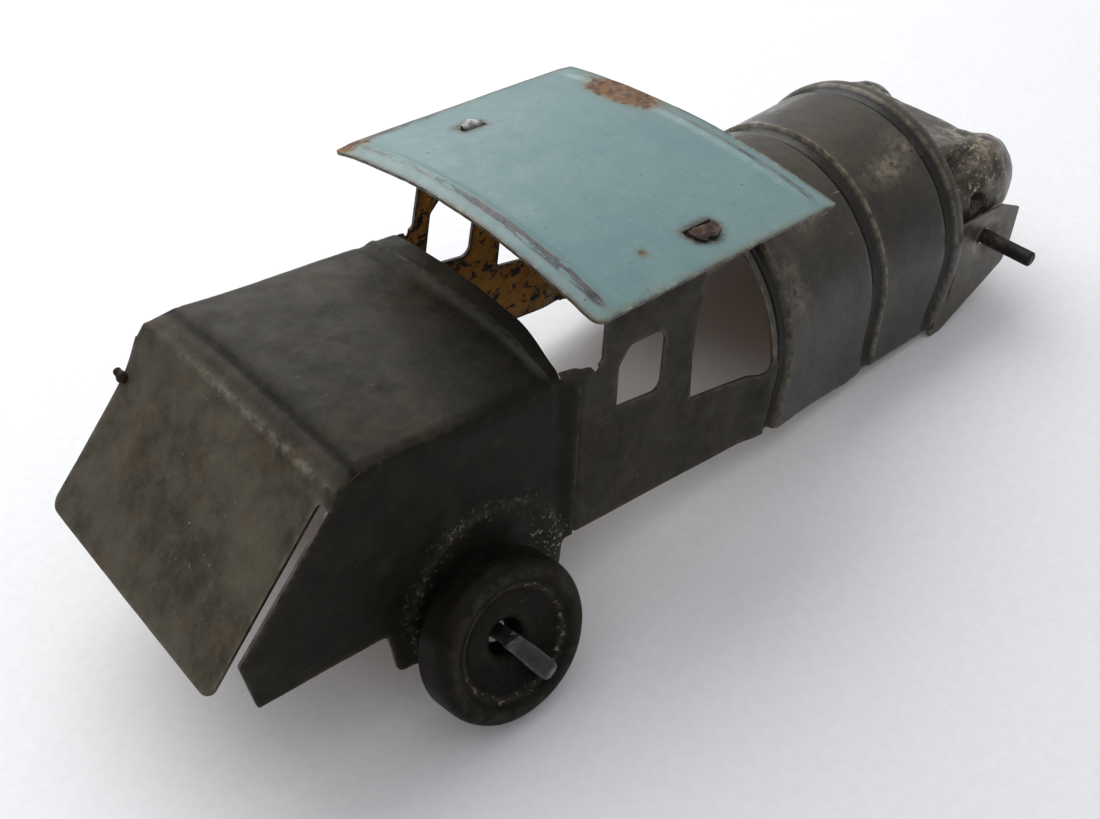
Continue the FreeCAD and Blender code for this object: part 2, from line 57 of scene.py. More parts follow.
def joint_place(name):
    """Where a joint's axis passes, in millimetres from the pressings' own zero."""
    joint = next(joint for joint in frame["joints"] if joint["name"] == name)
    x, y, z = (round(metres / MM, 3) for metres in joint["pos_m"])
    return round(x - SHIFT_X, 3), y, z


WALL_HALF = 13.0
WALL_FLARE = 0.09
FOLD_Z = 23.2
FOLD_R = 1.15
TOP_RISE = 0.95
LIP_X = -9.6
BEND_X = -31.0
CREASE = (-33.15, 22.0)
TAIL_TIP = (-44.4, 7.8)
SLIT_DROP = 1.2
TAIL_HALF_TOP = {NEAR: 11.9, FAR: 13.15}
TAIL_HALF_TIP = 12.85
SILL_Z = 6.4
SKEW = 1.7                      # how far the front edge is cut back on the near side
SKEW_X = -13.5
BOSS = (-19.2, 6.0)
BOSS_R = 9.3
CAB_FRONT_X = 17.0              # the cab sides lap over the boiler's rim up to here
RIM_X = 15.3
RIM_CENTRE_Z = 12.0

ROOF_MID = (2.5, 1.0)
ROOF_LENGTH = 29.0
ROOF_HALF = 17.0
ROOF_EDGE_Z = 31.15
ROOF_ARCH = (2.1, 1.4)          # rise of the crown at the rear and at the front end
ROOF_YAW = math.radians(0.8)
ROOF_TILT = math.radians(3.3)
RIB_INSET = 2.0
WALL_TOP_Z = 31.5               # where the cab sides meet the roof
TAB_X = {NEAR: 3.4, FAR: -1.0}
TAB_LENGTH = {NEAR: 3.0, FAR: 2.2}
TAB_FLAP = {NEAR: 1.7, FAR: 1.1}

BOILER_Z = 9.7
BOILER_END = 48.4
NOMINAL_R = 14.5
BEADS = ((17.85, 0.55), (34.35, 0.5), (45.9, 0.35))     # place along the sheet, wear on the crest
GROOVES = (17.0, 33.3, 45.0)
LEVEL_SHIFT = 1.38              # the level boiler's X at the same sheet position as the sloping rim's
PLATE_Y = 13.9
PLATE_SPLAY = math.radians(3.7)
FRONT_TRIM = (6.8, 1.95)
NOSE_BACK_X = 48.5
NOSE_LUMPS = (                  # middle and half size of the balls that make each bulge
    ((57.1, 8.0, 12.3), (6.9, 4.5, 6.0)),
    ((53.0, 8.6, 11.0), (6.5, 3.9, 5.0)),
)
NOSE_PIT = (53.9, 12.0, 13.3)
# painted highlight, partly worn metal: a bright spot on each bulge
NOSE_HIGHLIGHT = (54.8, 11.2, 14.4)
LUMP_OPEN_Z, WALL_OPEN_Z = 6.9, 2.35        # the nose is open below these heights
ROD_X, _, ROD_Z = joint_place("front_axle_spin")
ROD_R = 0.85
ROD_NECK_R = 0.66
ROD_END_Y = 19.5
WHEEL_R = 7.45
HUB = joint_place("far_rear_wheel_spin")
CAMBER = math.radians(18.0)

FINE = 0.32                     # mesh spacing of the pressings
FINER = 0.28


# ---- numbers ----
def smooth(start, end, x):
    """Smooth step from 0 at start to 1 at end."""
    t = np.clip((x - start) / (end - start), 0.0, 1.0)
    return t * t * (3 - 2 * t)


def bump(x, centre, half_width):
    """Rounded ridge of height 1 across x."""
    return np.cos(np.clip((x - centre) / half_width, -1, 1) * math.pi / 2) ** 2


def spot(distance, radius):
    """Soft round spot of height 1."""
    return np.exp(-(distance / radius) ** 2)


def fringe(rim, reach):
    """1 at a sheet's edge, fading inwards."""
    return np.exp(-rim / reach)


def sloped(points):
    """From the sloping frame of bunker, cab and roof to the model's frame."""
    x, y, z = points.T
    cos, sin = math.cos(PITCH), math.sin(PITCH)
    return np.stack([x * cos + z * sin + SHIFT_X, y, z * cos - x * sin], axis=1)


def standing(points):
    """From the boiler's level frame to the model's frame."""
    return points + np.array([SHIFT_X, 0.0, 0.0])


def wall_half(z):
    """Half the width over the bunker and cab walls, which spread towards the foot."""
    return WALL_HALF + WALL_FLARE * (FOLD_Z - z)


# ---- outlines and sheets ----
def spaced(points, spacing):
    """Closed outline with points added along its long edges."""
    out = []
    for i, here in enumerate(points):
        ahead = points[(i + 1) % len(points)]
        count = max(1, round(float(np.linalg.norm(ahead - here)) / spacing))
        for k in range(count):
            out.append(here + (ahead - here) * (k / count))
    return np.array(out)


def rounded(corners, spacing=FINE):
    """Dense closed outline of (u, v) or (u, v, corner radius) corners."""
    out = []
    for i, corner in enumerate(corners):
        here = np.array(corner[:2], float)
        if len(corner) == 2:
            out.append(here)
            continue
        radius = corner[2]
        back = np.array(corners[i - 1][:2], float) - here
        ahead = np.array(corners[(i + 1) % len(corners)][:2], float) - here
        back /= np.linalg.norm(back)
        ahead /= np.linalg.norm(ahead)
        half = math.acos(float(np.clip(back @ ahead, -1, 1))) / 2
        middle = (back + ahead) / np.linalg.norm(back + ahead)
        centre = here + middle * radius / math.sin(half)
        start = here + back * radius / math.tan(half) - centre
        end = here + ahead * radius / math.tan(half) - centre
        turn = math.pi - 2 * half
        steps = max(2, math.ceil(turn * radius / spacing), math.ceil(turn / 0.35))
        for k in range(steps + 1):
            a = math.sin(turn * (1 - k / steps)) / math.sin(turn)
            b = math.sin(turn * k / steps) / math.sin(turn)
            out.append(centre + start * a + end * b)
    return spaced(out, spacing)


def circle(centre, radius, spacing=FINE):
    """Closed round outline."""
    count = max(16, round(2 * math.pi * radius / spacing))
    angles = np.arange(count) * 2 * math.pi / count
    return np.stack([centre[0] + radius * np.cos(angles), centre[1] + radius * np.sin(angles)], axis=1)


def inside(points, outline):
    """Which points lie inside a closed outline."""
    x, y = points.T
    result = np.zeros(len(points), bool)
    for a, b in zip(outline, np.roll(outline, -1, axis=0)):
        if a[1] == b[1]:
            continue
        crosses = (a[1] > y) != (b[1] > y)
        result ^= crosses & (x < (b[0] - a[0]) * (y - a[1]) / (b[1] - a[1]) + a[0])
    return result


def distance_to(points, outlines):
    """Distance from each point to the nearest outline point."""
    marks = np.concatenate(outlines)
    best = np.full(len(points), 1e9)
    for start in range(0, len(points), 4000):
        part = points[start:start + 4000]
        gap = part[:, None, :] - marks[None, :, :]
        best[start:start + 4000] = np.sqrt((gap ** 2).sum(axis=2).min(axis=1))
    return best


def flat_mesh(outline, holes=(), spacing=FINE):
    """Triangles over a flat outline with holes: points, faces and each point's distance to an edge."""
    outlines = [outline, *holes]
    low, high = outline.min(axis=0), outline.max(axis=0)
    grid = np.mgrid[low[0]:high[0]:spacing, low[1]:high[1]:spacing].reshape(2, -1).T + spacing / 2
    keep = inside(grid, outline)
    for hole in holes:
        keep &= ~inside(grid, hole)
    grid = grid[keep]
    grid = grid[distance_to(grid, outlines) > 0.55 * spacing]
    points = np.concatenate(outlines + [grid])
    edges, first = [], 0
    for line in outlines:
        count = len(line)
        edges += [(first + i, first + (i + 1) % count) for i in range(count)]
        first += count
    result = geometry.delaunay_2d_cdt([Vector(p) for p in points], edges, [], 0, 1e-7)
    flat = np.array([tuple(v) for v in result[0]])
    faces = np.array(result[2])
    middle = flat[faces].mean(axis=1)
    first, second = flat[faces[:, 1]] - flat[faces[:, 0]], flat[faces[:, 2]] - flat[faces[:, 0]]
    area = np.abs(first[:, 0] * second[:, 1] - first[:, 1] * second[:, 0])
    keep = inside(middle, outline) & (area > 1e-3 * spacing ** 2)
    for hole in holes:
        keep &= ~inside(middle, hole)
    return flat, faces[keep], distance_to(flat, outlines)


def waver(points, size, seed):
    """Gentle unevenness between -1 and 1, with lumps of the given size."""
    offset = Vector((seed * 17.3, seed * 5.1, seed * 9.7))
    return np.array([noise.noise(Vector(p) / size + offset) for p in points])


def uneven(*layers):
    """Function that gives the offsets for layers of (depth, lump size, seed)."""
    return lambda places: sum(depth * waver(places, size, seed) for depth, size, seed in layers)


class Sheet:
    """Outer skin of a pressing, made of patches that meet edge to edge."""

    def __init__(self):
        self.points, self.faces, self.marks, self.count = [], [], {}, 0

    def patch(self, points, faces, flip=False, **marks):
        self.points.append(points)
        self.faces += [tuple(int(i) + self.count for i in (f[::-1] if flip else f)) for f in faces]
        for name in set(self.marks) | set(marks):
            before = self.marks.get(name, np.zeros(self.count))
            self.marks[name] = np.concatenate([before, marks.get(name, np.zeros(len(points)))])
        self.count += len(points)

    def build(self, name, thickness=SHEET, press=None, join=True):
        """Mesh object: the skin pressed in or out along its normals, then given its thickness."""
        bm = bmesh.new()
        layers = {key: bm.verts.layers.float.new(key) for key in self.marks}
        points = np.concatenate(self.points)
        for i, p in enumerate(points):
            vert = bm.verts.new(p)
            for key, layer in layers.items():
                vert[layer] = float(self.marks[key][i])
        bm.verts.ensure_lookup_table()
        for face in self.faces:
            if len(set(face)) > 2:
                bm.faces.new([bm.verts[i] for i in face])
        bmesh.ops.remove_doubles(bm, verts=bm.verts, dist=0.02)
        loose = [v for v in bm.verts if not v.link_faces]
        bmesh.ops.delete(bm, geom=loose, context="VERTS")
        if join:
            bmesh.ops.join_triangles(
                bm, faces=bm.faces, angle_face_threshold=0.7, angle_shape_threshold=0.9
            )
        bm.normal_update()
        if press is not None:
            places = np.array([tuple(v.co) for v in bm.verts])
            for vert, offset in zip(bm.verts, press(places)):
                vert.co += vert.normal * float(offset)
            bm.normal_update()
        thicken(bm, thickness)
        return finished(name, bm)


def thicken(bm, thickness):
    """Closes a skin into a sheet: inner faces get material 1 and cut edges material 2."""
    outer = list(bm.verts)
    outer_faces = list(bm.faces)
    rims = [edge for edge in bm.edges if edge.is_boundary]
    layers = list(bm.verts.layers.float.values())
    inner = {}
    for vert in outer:
        twin = bm.verts.new(vert.co - vert.normal * thickness)
        for layer in layers:
            twin[layer] = vert[layer]
        inner[vert] = twin
    for edge in rims:
        loop = edge.link_loops[0]
        start, end = loop.vert, loop.link_loop_next.vert
        rim = bm.faces.new([end, start, inner[start], inner[end]])
        rim.material_index = 2
    for face in outer_faces:
        back = bm.faces.new([inner[v] for v in reversed(face.verts)])
        back.material_index = 1
    bm.normal_update()


def finished(name, bm, sharp=50.0):
    """Turns a bmesh in millimetres into a smooth-shaded object in metres."""
    for face in bm.faces:
        face.smooth = True
    bmesh.ops.scale(bm, vec=(MM, MM, MM), verts=bm.verts)
    bm.normal_update()
    mesh = bpy.data.meshes.new(name)
    bm.to_mesh(mesh)
    bm.free()
    mesh.set_sharp_from_angle(angle=math.radians(sharp))
    piece = bpy.data.objects.new(name, mesh)
    bpy.context.scene.collection.objects.link(piece)
    return piece


def soften(piece, width=0.05, angle=50.0):
    """Small bevel on the cut edges."""
    bevel = piece.modifiers.new("edge", "BEVEL")
    bevel.width = width * MM
    bevel.segments = 2
    bevel.limit_method = "ANGLE"
    bevel.angle_limit = math.radians(angle)
    bevel.harden_normals = True
    return piece


def lathe(name, profile, origin, axis, turns=96, waviness=0.0, seed=1, **marks):
    """Closed body of revolution: the profile is (radius, height) points round the section."""
    profile = np.array(profile, float)
    bm = bmesh.new()
    layers = {key: bm.verts.layers.float.new(key) for key in marks}
    axis = Vector(axis).normalized()
    across = axis.orthogonal().normalized()
    up = axis.cross(across)
    rings = []
    for turn in range(turns):
        angle = 2 * math.pi * turn / turns
        direction = across * math.cos(angle) + up * math.sin(angle)
        ring = []
        for i, (radius, height) in enumerate(profile):
            here = direction * radius + axis * height
            wobble = waviness * noise.noise(here * 0.35 + Vector((seed * 3.1, 0, 0)))
            vert = bm.verts.new(Vector(origin) + here + direction * wobble)
            for key, layer in layers.items():
                vert[layer] = float(marks[key][i])
            ring.append(vert)
        rings.append(ring)
    count = len(profile)
    for turn in range(turns):
        ring, following = rings[turn], rings[(turn + 1) % turns]
        for i in range(count):
            k = (i + 1) % count
            bm.faces.new([ring[i], ring[k], following[k], following[i]])
    bmesh.ops.remove_doubles(bm, verts=bm.verts, dist=1e-5)
    bmesh.ops.recalc_face_normals(bm, faces=bm.faces)
    return finished(name, bm)


def curved(points, closed=False, steps=6):
    """Points of a smooth curve through the given ones."""
    points = [np.array(p, float) for p in points]
    last = len(points) - 1
    out = []
    spans = len(points) if closed else last
    for i in range(spans):
        if closed:
            p0, p1, p2, p3 = (points[(i + k) % len(points)] for k in (-1, 0, 1, 2))
        else:
            p0, p1, p2, p3 = points[max(i - 1, 0)], points[i], points[i + 1], points[min(i + 2, last)]
        for k in range(steps):
            t = k / steps
            out.append(
                0.5 * (2 * p1 + (p2 - p0) * t + (2 * p0 - 5 * p1 + 4 * p2 - p3) * t ** 2
                       + (3 * p1 - p0 - 3 * p2 + p3) * t ** 3)
            )
    if not closed:
        out.append(points[-1])
    return np.array(out)


# ---- materials ----
class Shading:
    """Writes one procedural material; every noise works in millimetres."""

    def __init__(self, name):
        self.material = bpy.data.materials.new(name)
        self.material.use_nodes = True
        self.tree = self.material.node_tree
        self.tree.nodes.clear()
        place = self.add("ShaderNodeTexCoord").outputs["Object"]
        scaled = self.add("ShaderNodeVectorMath", {0: place, "Scale": 1 / MM}, operation="SCALE")
        self.place = scaled.outputs[0]

    def add(self, kind, inputs=None, **settings):
        node = self.tree.nodes.new(kind)
        for key, value in settings.items():
            setattr(node, key, value)
        for key, value in (inputs or {}).items():
            if isinstance(value, bpy.types.NodeSocket):
                self.tree.links.new(value, node.inputs[key])
            else:
                node.inputs[key].default_value = value
        return node

    def stretched(self, scale, turn=(0.0, 0.0, 0.0)):
        """Coordinates in millimetres, stretched and turned."""
        inputs = {"Vector": self.place, "Scale": scale, "Rotation": turn}
        return self.add("ShaderNodeMapping", inputs).outputs[0]

    def noise(self, scale, detail=3.0, rough=0.55, place=None, twist=0.0):
        inputs = {
            "Vector": place or self.place, "Scale": scale, "Detail": detail,
            "Roughness": rough, "Distortion": twist,
        }
        return self.add("ShaderNodeTexNoise", inputs).outputs["Fac"]

    def step(self, value, low, high, to_low=0.0, to_high=1.0):
        inputs = {0: value, 1: low, 2: high, 3: to_low, 4: to_high}
        return self.add("ShaderNodeMapRange", inputs, interpolation_type="SMOOTHSTEP").outputs[0]

    def math(self, operation, a, b=0.0):
        return self.add("ShaderNodeMath", {0: a, 1: b}, operation=operation, use_clamp=True).outputs[0]

    def times(self, a, b):
        return self.math("MULTIPLY", a, b)

    def mix(self, factor, a, b):
        node = self.add("ShaderNodeMix", data_type="RGBA")
        for key, value in ((0, factor), (6, a), (7, b)):
            if isinstance(value, bpy.types.NodeSocket):
                self.tree.links.new(value, node.inputs[key])
            elif key == 0:
                node.inputs[key].default_value = value
            else:
                node.inputs[key].default_value = (*value, 1.0)
        return node.outputs[2]

    def mark(self, name):
        """A value painted on the mesh."""
        return self.add("ShaderNodeAttribute", attribute_name=name).outputs["Fac"]

    def bumps(self, *layers):
        """Chain of bumps: (height, distance in millimetres) each."""
        normal = None
        for height, depth in layers:
            inputs = {"Height": height, "Strength": 1.0, "Distance": depth * MM}
            if normal is not None:
                inputs["Normal"] = normal
            normal = self.add("ShaderNodeBump", inputs).outputs[0]
        return normal

    def finish(self, colour, roughness, normal, metallic=0.0, specular=0.5):
        inputs = {
            "Base Color": colour, "Roughness": roughness, "Metallic": metallic, "Normal": normal,
            "Specular IOR Level": specular,
        }
        shader = self.add("ShaderNodeBsdfPrincipled", inputs)
        output = self.add("ShaderNodeOutputMaterial")
        self.tree.links.new(shader.outputs[0], output.inputs[0])
        return self.material


def tin_material(name, dark, mid, warm, bright, gloss=0.0, sheen=0.12):
    """Old bare tinplate: dark patina in blotches, light specks, fine scratches, worn crests, and painted
    shade that darkens the colour and mutes the light marks where the mesh is marked as shaded.
    """
    s = Shading(name)
    blotch = s.step(s.noise(0.16, 5.0, 0.6), 0.34, 0.66)
    colour = s.mix(blotch, dark, mid)
    warmth = s.times(s.step(s.noise(0.23, 4.0, 0.65, twist=0.6), 0.52, 0.72), 0.5)
    colour = s.mix(warmth, colour, warm)
    # painted shade: where the mesh is marked as shaded, the tin is darkened towards a third of its dark
    # tone
    shade_darkening = s.times(s.mark("dull"), s.step(s.noise(0.3, 4.0, 0.6), 0.2, 0.5, 0.75, 1.0))
    colour = s.mix(shade_darkening, colour, tuple(0.30 * c for c in dark))
    grain = s.noise(2.6, 4.0, 0.7)
    # painted shade also mutes the grain, clouds, scratches and specks
    unshaded = s.math("SUBTRACT", 1.0, s.times(s.mark("dull"), 0.85))
    colour = s.mix(s.times(s.step(grain, 0.45, 0.85, 0.0, 0.09), unshaded), colour, bright)
    cloud = s.step(s.noise(0.55, 4.0, 0.65, twist=0.3), 0.36, 0.68)
    cloud = s.times(s.times(cloud, 0.30), unshaded)
    colour = s.mix(cloud, colour, tuple(1.7 * c for c in mid))
    pores = s.step(s.noise(3.4, 2.0, 0.5), 0.64, 0.74)
    colour = s.mix(s.times(pores, 0.35), colour, tuple(0.4 * c for c in dark))
    lines = []
    for turn, scale in (((0.3, 0.5, 0.9), 0.9), ((1.3, 0.2, 2.2), 0.8)):
        place = s.stretched((0.12, 3.2, 3.2), turn)
        line = s.step(s.noise(scale, 2.0, 0.5, place), 0.71, 0.77)
        patchy = s.step(s.noise(0.35, 2.0), 0.5, 0.62)
        lines.append(s.times(line, patchy))
    scratch = s.times(s.math("MAXIMUM", lines[0], lines[1]), 0.5)
    colour = s.mix(s.times(scratch, unshaded), colour, bright)
    specks = s.times(s.step(s.noise(1.5, 2.0, 0.6), 0.73, 0.79), 0.45)
    colour = s.mix(s.times(specks, unshaded), colour, bright)
    rubbed = s.times(s.mark("wear"), s.step(s.noise(1.1, 4.0, 0.7), 0.3, 0.7))
    colour = s.mix(rubbed, colour, bright)
    speckled = s.times(s.mark("specks"), s.step(s.noise(1.9, 3.0, 0.7), 0.57, 0.66))
    colour = s.mix(speckled, colour, tuple(min(1.0, 1.6 * c) for c in bright))
    rough = s.step(s.noise(0.5, 4.0, 0.6), 0.25, 0.75, 0.36 - gloss, 0.52 - gloss)
    normal = s.bumps((s.noise(0.35, 3.0), 0.10), (s.noise(1.6, 4.0, 0.7), 0.02), (grain, 0.008))
    return s.finish(colour, rough, normal, specular=sheen)


def edge_material(name, colour_a, colour_b):
    """Cut edge of the sheet, with rust and dirt."""
    s = Shading(name)
    colour = s.mix(s.step(s.noise(0.8, 4.0, 0.7), 0.35, 0.65), colour_a, colour_b)
    normal = s.bumps((s.noise(3.0, 3.0), 0.02))
    return s.finish(colour, s.step(s.noise(1.5), 0.3, 0.7, 0.4, 0.65), normal)


def print_material():
    """Inside of the recycled tin: yellow-orange print with black blotches and worn spots."""
    s = Shading("old_print")
    tone = s.step(s.noise(0.35, 4.0, 0.6), 0.3, 0.7)
    colour = s.mix(tone, (0.33, 0.15, 0.012), (0.24, 0.11, 0.012))
    burnt = s.step(s.noise(0.28, 3.0, 0.6, twist=0.8), 0.5, 0.72)
    colour = s.mix(s.times(burnt, 0.55), colour, (0.10, 0.045, 0.008))
    blots = s.step(s.noise(0.8, 4.0, 0.68, twist=0.4), 0.535, 0.575)
    colour = s.mix(blots, colour, (0.006, 0.005, 0.004))
    specks = s.step(s.noise(2.2, 3.0, 0.6), 0.62, 0.68)
    colour = s.mix(s.times(specks, 0.8), colour, (0.012, 0.009, 0.006))
    edge = s.times(s.mark("edge"), s.step(s.noise(1.2, 3.0), 0.2, 0.55))
    colour = s.mix(edge, colour, (0.010, 0.008, 0.006))
    normal = s.bumps((s.noise(0.5, 3.0), 0.05), (s.noise(3.0, 3.0), 0.01))
    return s.finish(colour, s.step(s.noise(0.8), 0.3, 0.7, 0.34, 0.5), normal, specular=0.12)


def roof_material():
    """Worn light blue paint: bare grey on the ribs, rust, cream primer at the edges, dark specks."""
    s = Shading("roof_blue")
    blue, pale = (0.100, 0.188, 0.194), (0.128, 0.216, 0.214)
    colour = s.mix(s.step(s.noise(0.14, 5.0, 0.6), 0.3, 0.7), blue, pale)
    colour = s.mix(s.step(s.noise(1.4, 4.0, 0.7), 0.5, 0.8, 0.0, 0.35), colour, (0.20, 0.30, 0.31))
    place = s.stretched((0.5, 2.6, 1.0), (0, 0, 0.05))
    streaks = s.step(s.noise(1.1, 3.0, 0.6, place), 0.6, 0.72)
    colour = s.mix(s.times(streaks, 0.35), colour, (0.15, 0.22, 0.22))
    cream = s.step(s.noise(0.33, 5.0, 0.75), 0.62, 0.72)
    colour = s.mix(s.times(cream, 0.28), colour, (0.30, 0.28, 0.20))
    edge = s.times(s.mark("edge"), s.step(s.noise(0.7, 4.0, 0.7), 0.36, 0.64, 0.0, 0.75))
    colour = s.mix(edge, colour, (0.24, 0.21, 0.12))
    dirty = s.times(s.mark("rim"), s.step(s.noise(1.1, 4.0, 0.7), 0.30, 0.50))
    colour = s.mix(dirty, colour, (0.030, 0.020, 0.012))
    along = s.stretched((2.4, 0.24, 1.0), (0, 0, 0.05))
    chips = s.step(s.noise(0.7, 5.0, 0.75, along), 0.42, 0.52)
    scrape = s.step(s.noise(1.0, 5.0, 0.72, along), 0.46, 0.53)
    shadow = s.times(s.step(s.mark("rib"), 0.05, 0.7, 0.0, 0.75), chips)
    colour = s.mix(shadow, colour, (0.13, 0.145, 0.14))
    bare = s.times(s.step(s.mark("rib"), 0.42, 0.78), scrape)
    tone = s.step(s.noise(2.0, 4.0, 0.7), 0.35, 0.65)
    metal = s.mix(tone, (0.014, 0.013, 0.012), (0.065, 0.066, 0.066))
    colour = s.mix(bare, colour, metal)
    # dark brown dirt, and round the tabs painted shadow under the bent-over tabs
    dirt_and_shadow = s.step(s.times(s.mark("soot"), s.noise(1.1, 4.0, 0.7)), 0.08, 0.36)
    colour = s.mix(s.times(dirt_and_shadow, 0.92), colour, (0.030, 0.024, 0.015))
    halo = s.step(s.mark("rust"), 0.04, 0.5, 0.0, 0.7)
    colour = s.mix(halo, colour, (0.13, 0.125, 0.07))
    rust_place = s.step(s.times(s.mark("rust"), s.noise(0.9, 4.0, 0.7)), 0.14, 0.24)
    tone = s.step(s.noise(1.6, 3.0), 0.35, 0.65)
    rust_tone = s.mix(tone, (0.17, 0.080, 0.024), (0.055, 0.024, 0.010))
    colour = s.mix(rust_place, colour, rust_tone)
    specks = s.step(s.noise(1.8, 2.0, 0.5), 0.715, 0.745)
    colour = s.mix(s.times(specks, 0.75), colour, (0.05, 0.045, 0.035))
    for turn in (0.4, 1.5, 2.6):
        fibre = s.noise(1.0, 2.0, 0.5, s.stretched((0.55, 4.5, 1.0), (0, 0, turn)))
        colour = s.mix(s.step(fibre, 0.70, 0.75, 0.0, 0.5), colour, (0.10, 0.12, 0.11))
    dots = s.step(s.noise(3.4, 2.0, 0.5), 0.69, 0.73)
    colour = s.mix(s.times(dots, 0.5), colour, (0.09, 0.10, 0.09))
    paint_rough = s.step(s.noise(0.6, 3.0), 0.3, 0.7, 0.36, 0.5)
    rough = s.math("ADD", paint_rough, s.times(rust_place, 0.3))
    chipped = s.math("MAXIMUM", bare, rust_place)
    normal = s.bumps((s.noise(0.4, 3.0), 0.06), (s.math("SUBTRACT", 1.0, chipped), 0.03),
                     (s.noise(2.2, 4.0, 0.7), 0.012))
    return s.finish(colour, rough, normal)


def roof_under_material():
    """Underside of the roof: thin cream primer over matte tin."""
    s = Shading("roof_underside")
    worn = s.step(s.noise(0.3, 5.0, 0.65), 0.4, 0.6)
    colour = s.mix(worn, (0.30, 0.27, 0.17), (0.12, 0.11, 0.085))
    blots = s.step(s.noise(0.9, 4.0, 0.7), 0.58, 0.64)
    colour = s.mix(blots, colour, (0.05, 0.035, 0.02))
    normal = s.bumps((s.noise(0.5, 3.0), 0.05), (s.noise(2.5, 3.0), 0.012))
    return s.finish(colour, s.step(s.noise(0.7), 0.3, 0.7, 0.42, 0.6), normal)


def rusty_material(name, dark, light):
    """Pitted metal of the bent tabs and the burr."""
    s = Shading(name)
    colour = s.mix(s.step(s.noise(0.9, 5.0, 0.7), 0.4, 0.62), dark, light)
    colour = s.mix(s.step(s.noise(3.0, 3.0, 0.6), 0.6, 0.7), colour, (0.01, 0.008, 0.006))
    normal = s.bumps((s.noise(1.6, 4.0, 0.7), 0.06), (s.noise(5.0, 2.0), 0.01))
    return s.finish(colour, s.step(s.noise(1.2), 0.3, 0.7, 0.45, 0.75), normal, specular=0.2)


def bare_material():
    """Bare tin of the axle strip: matte dark grey, rubbed lighter at the tips and edges."""
    s = Shading("bare_tin")
    tone = s.step(s.noise(0.9, 5.0, 0.7), 0.35, 0.65)
    colour = s.mix(tone, (0.020, 0.0195, 0.018), (0.042, 0.041, 0.038))
    rubbed = s.times(s.mark("wear"), s.step(s.noise(1.3, 4.0, 0.7), 0.3, 0.62))
    colour = s.mix(rubbed, colour, (0.22, 0.215, 0.20))
    place = s.stretched((0.4, 4.0, 4.0), (0.4, 0.9, 0.6))
    brushed = s.noise(1.4, 3.0, 0.6, place)
    colour = s.mix(s.step(brushed, 0.6, 0.74, 0.0, 0.3), colour, (0.12, 0.12, 0.115))
    colour = s.mix(s.step(s.noise(1.8, 3.0, 0.6), 0.62, 0.7), colour, (0.016, 0.014, 0.011))
    normal = s.bumps((s.noise(2.0, 4.0, 0.7), 0.02), (brushed, 0.008))
    return s.finish(colour, s.step(s.noise(0.9), 0.3, 0.7, 0.36, 0.54), normal, 0.3, specular=0.25)


def rod_material():
    """Blackened wire, browner where it leaves the side plates."""
    s = Shading("black_rod")
    tone = s.step(s.noise(1.2, 4.0, 0.7), 0.35, 0.7)
    colour = s.mix(tone, (0.005, 0.005, 0.006), (0.014, 0.014, 0.015))
    tone = s.step(s.noise(1.6, 4.0, 0.7), 0.4, 0.6)
    brown = s.mix(tone, (0.020, 0.015, 0.011), (0.055, 0.042, 0.030))
    colour = s.mix(s.mark("wear"), colour, brown)
    colour = s.mix(s.step(s.noise(2.4, 3.0, 0.6), 0.66, 0.74), colour, (0.05, 0.045, 0.04))
    normal = s.bumps((s.noise(2.2, 4.0, 0.7), 0.03), (s.noise(6.0, 2.0), 0.01))
    return s.finish(colour, s.step(s.noise(1.1), 0.3, 0.7, 0.4, 0.6), normal, specular=0.2)


def dress(piece, *materials):
    """Gives a piece its materials: outside, inside, cut edge."""
    for material in materials:
        piece.data.materials.append(material)
    return piece


# ---- bunker with its tail ----
def bend_path():
    """Side view of the fold line: along the bunker top, over the crease and down the tail."""
    corners = [(LIP_X, FOLD_Z), (BEND_X, FOLD_Z, 0.9), (*CREASE, 0.7), TAIL_TIP]
    closing = (TAIL_TIP[0], FOLD_Z + 20.0)
    line = rounded([*corners, closing, (LIP_X, FOLD_Z + 20.0)], 0.2)
    last = int(np.argmin(np.linalg.norm(line - np.array(TAIL_TIP), axis=1)))
    return line[:last + 1]


class Fold:
    """The bent profile of the bunker top, by distance along it (s)."""

    def __init__(self):
        self.line = bend_path()
        lengths = np.linalg.norm(np.diff(self.line, axis=0), axis=1)
        self.along = np.concatenate([[0.0], np.cumsum(lengths)])
        self.length = self.along[-1]
        ahead = np.gradient(self.line, axis=0)
        ahead /= np.linalg.norm(ahead, axis=1)[:, None]
        self.normal = np.stack([ahead[:, 1], -ahead[:, 0]], axis=1)
        crease = int(np.argmin(np.linalg.norm(self.line - np.array(CREASE), axis=1)))
        self.crease = self.along[crease]
        bend = int(np.argmin(np.linalg.norm(self.line - np.array((BEND_X, FOLD_Z)), axis=1)))
        self.bend = self.along[bend]
        self.slit = self.crease + SLIT_DROP

    def at(self, s, table):
        return np.stack([np.interp(s, self.along, table[:, i]) for i in range(2)], axis=1)


def fold_radius(fold, s):
    """The fold is sharpest where it runs into the tail."""
    return FOLD_R - 0.85 * smooth(fold.crease - 3.0, fold.slit, s)


def fold_over(fold, s, side, distance, on_top):
    """Point on the rounded fold between the top and one side."""
    base = fold.at(s, fold.line)
    up = fold.at(s, fold.normal)
    radius = fold_radius(fold, s)
    part = np.clip(1 - distance / radius, 0, 1)
    angle = np.where(on_top, 0.25 * math.pi * part, 0.5 * math.pi - 0.25 * math.pi * part)
    out = radius * (np.sin(angle) - 1)
    lift = radius * (np.cos(angle) - 1)
    y = side * (wall_half(base[:, 1]) + out)
    return np.stack([base[:, 0] + up[:, 0] * lift, y, base[:, 1] + up[:, 1] * lift], axis=1)


def top_lip(x):
    """Low bead across the top, behind the front edge."""
    return 0.19 * bump(x, -12.1, 0.65) + 0.10 * smooth(-12.6, -11.9, x) - 0.10 * bump(x, -13.3, 0.8)


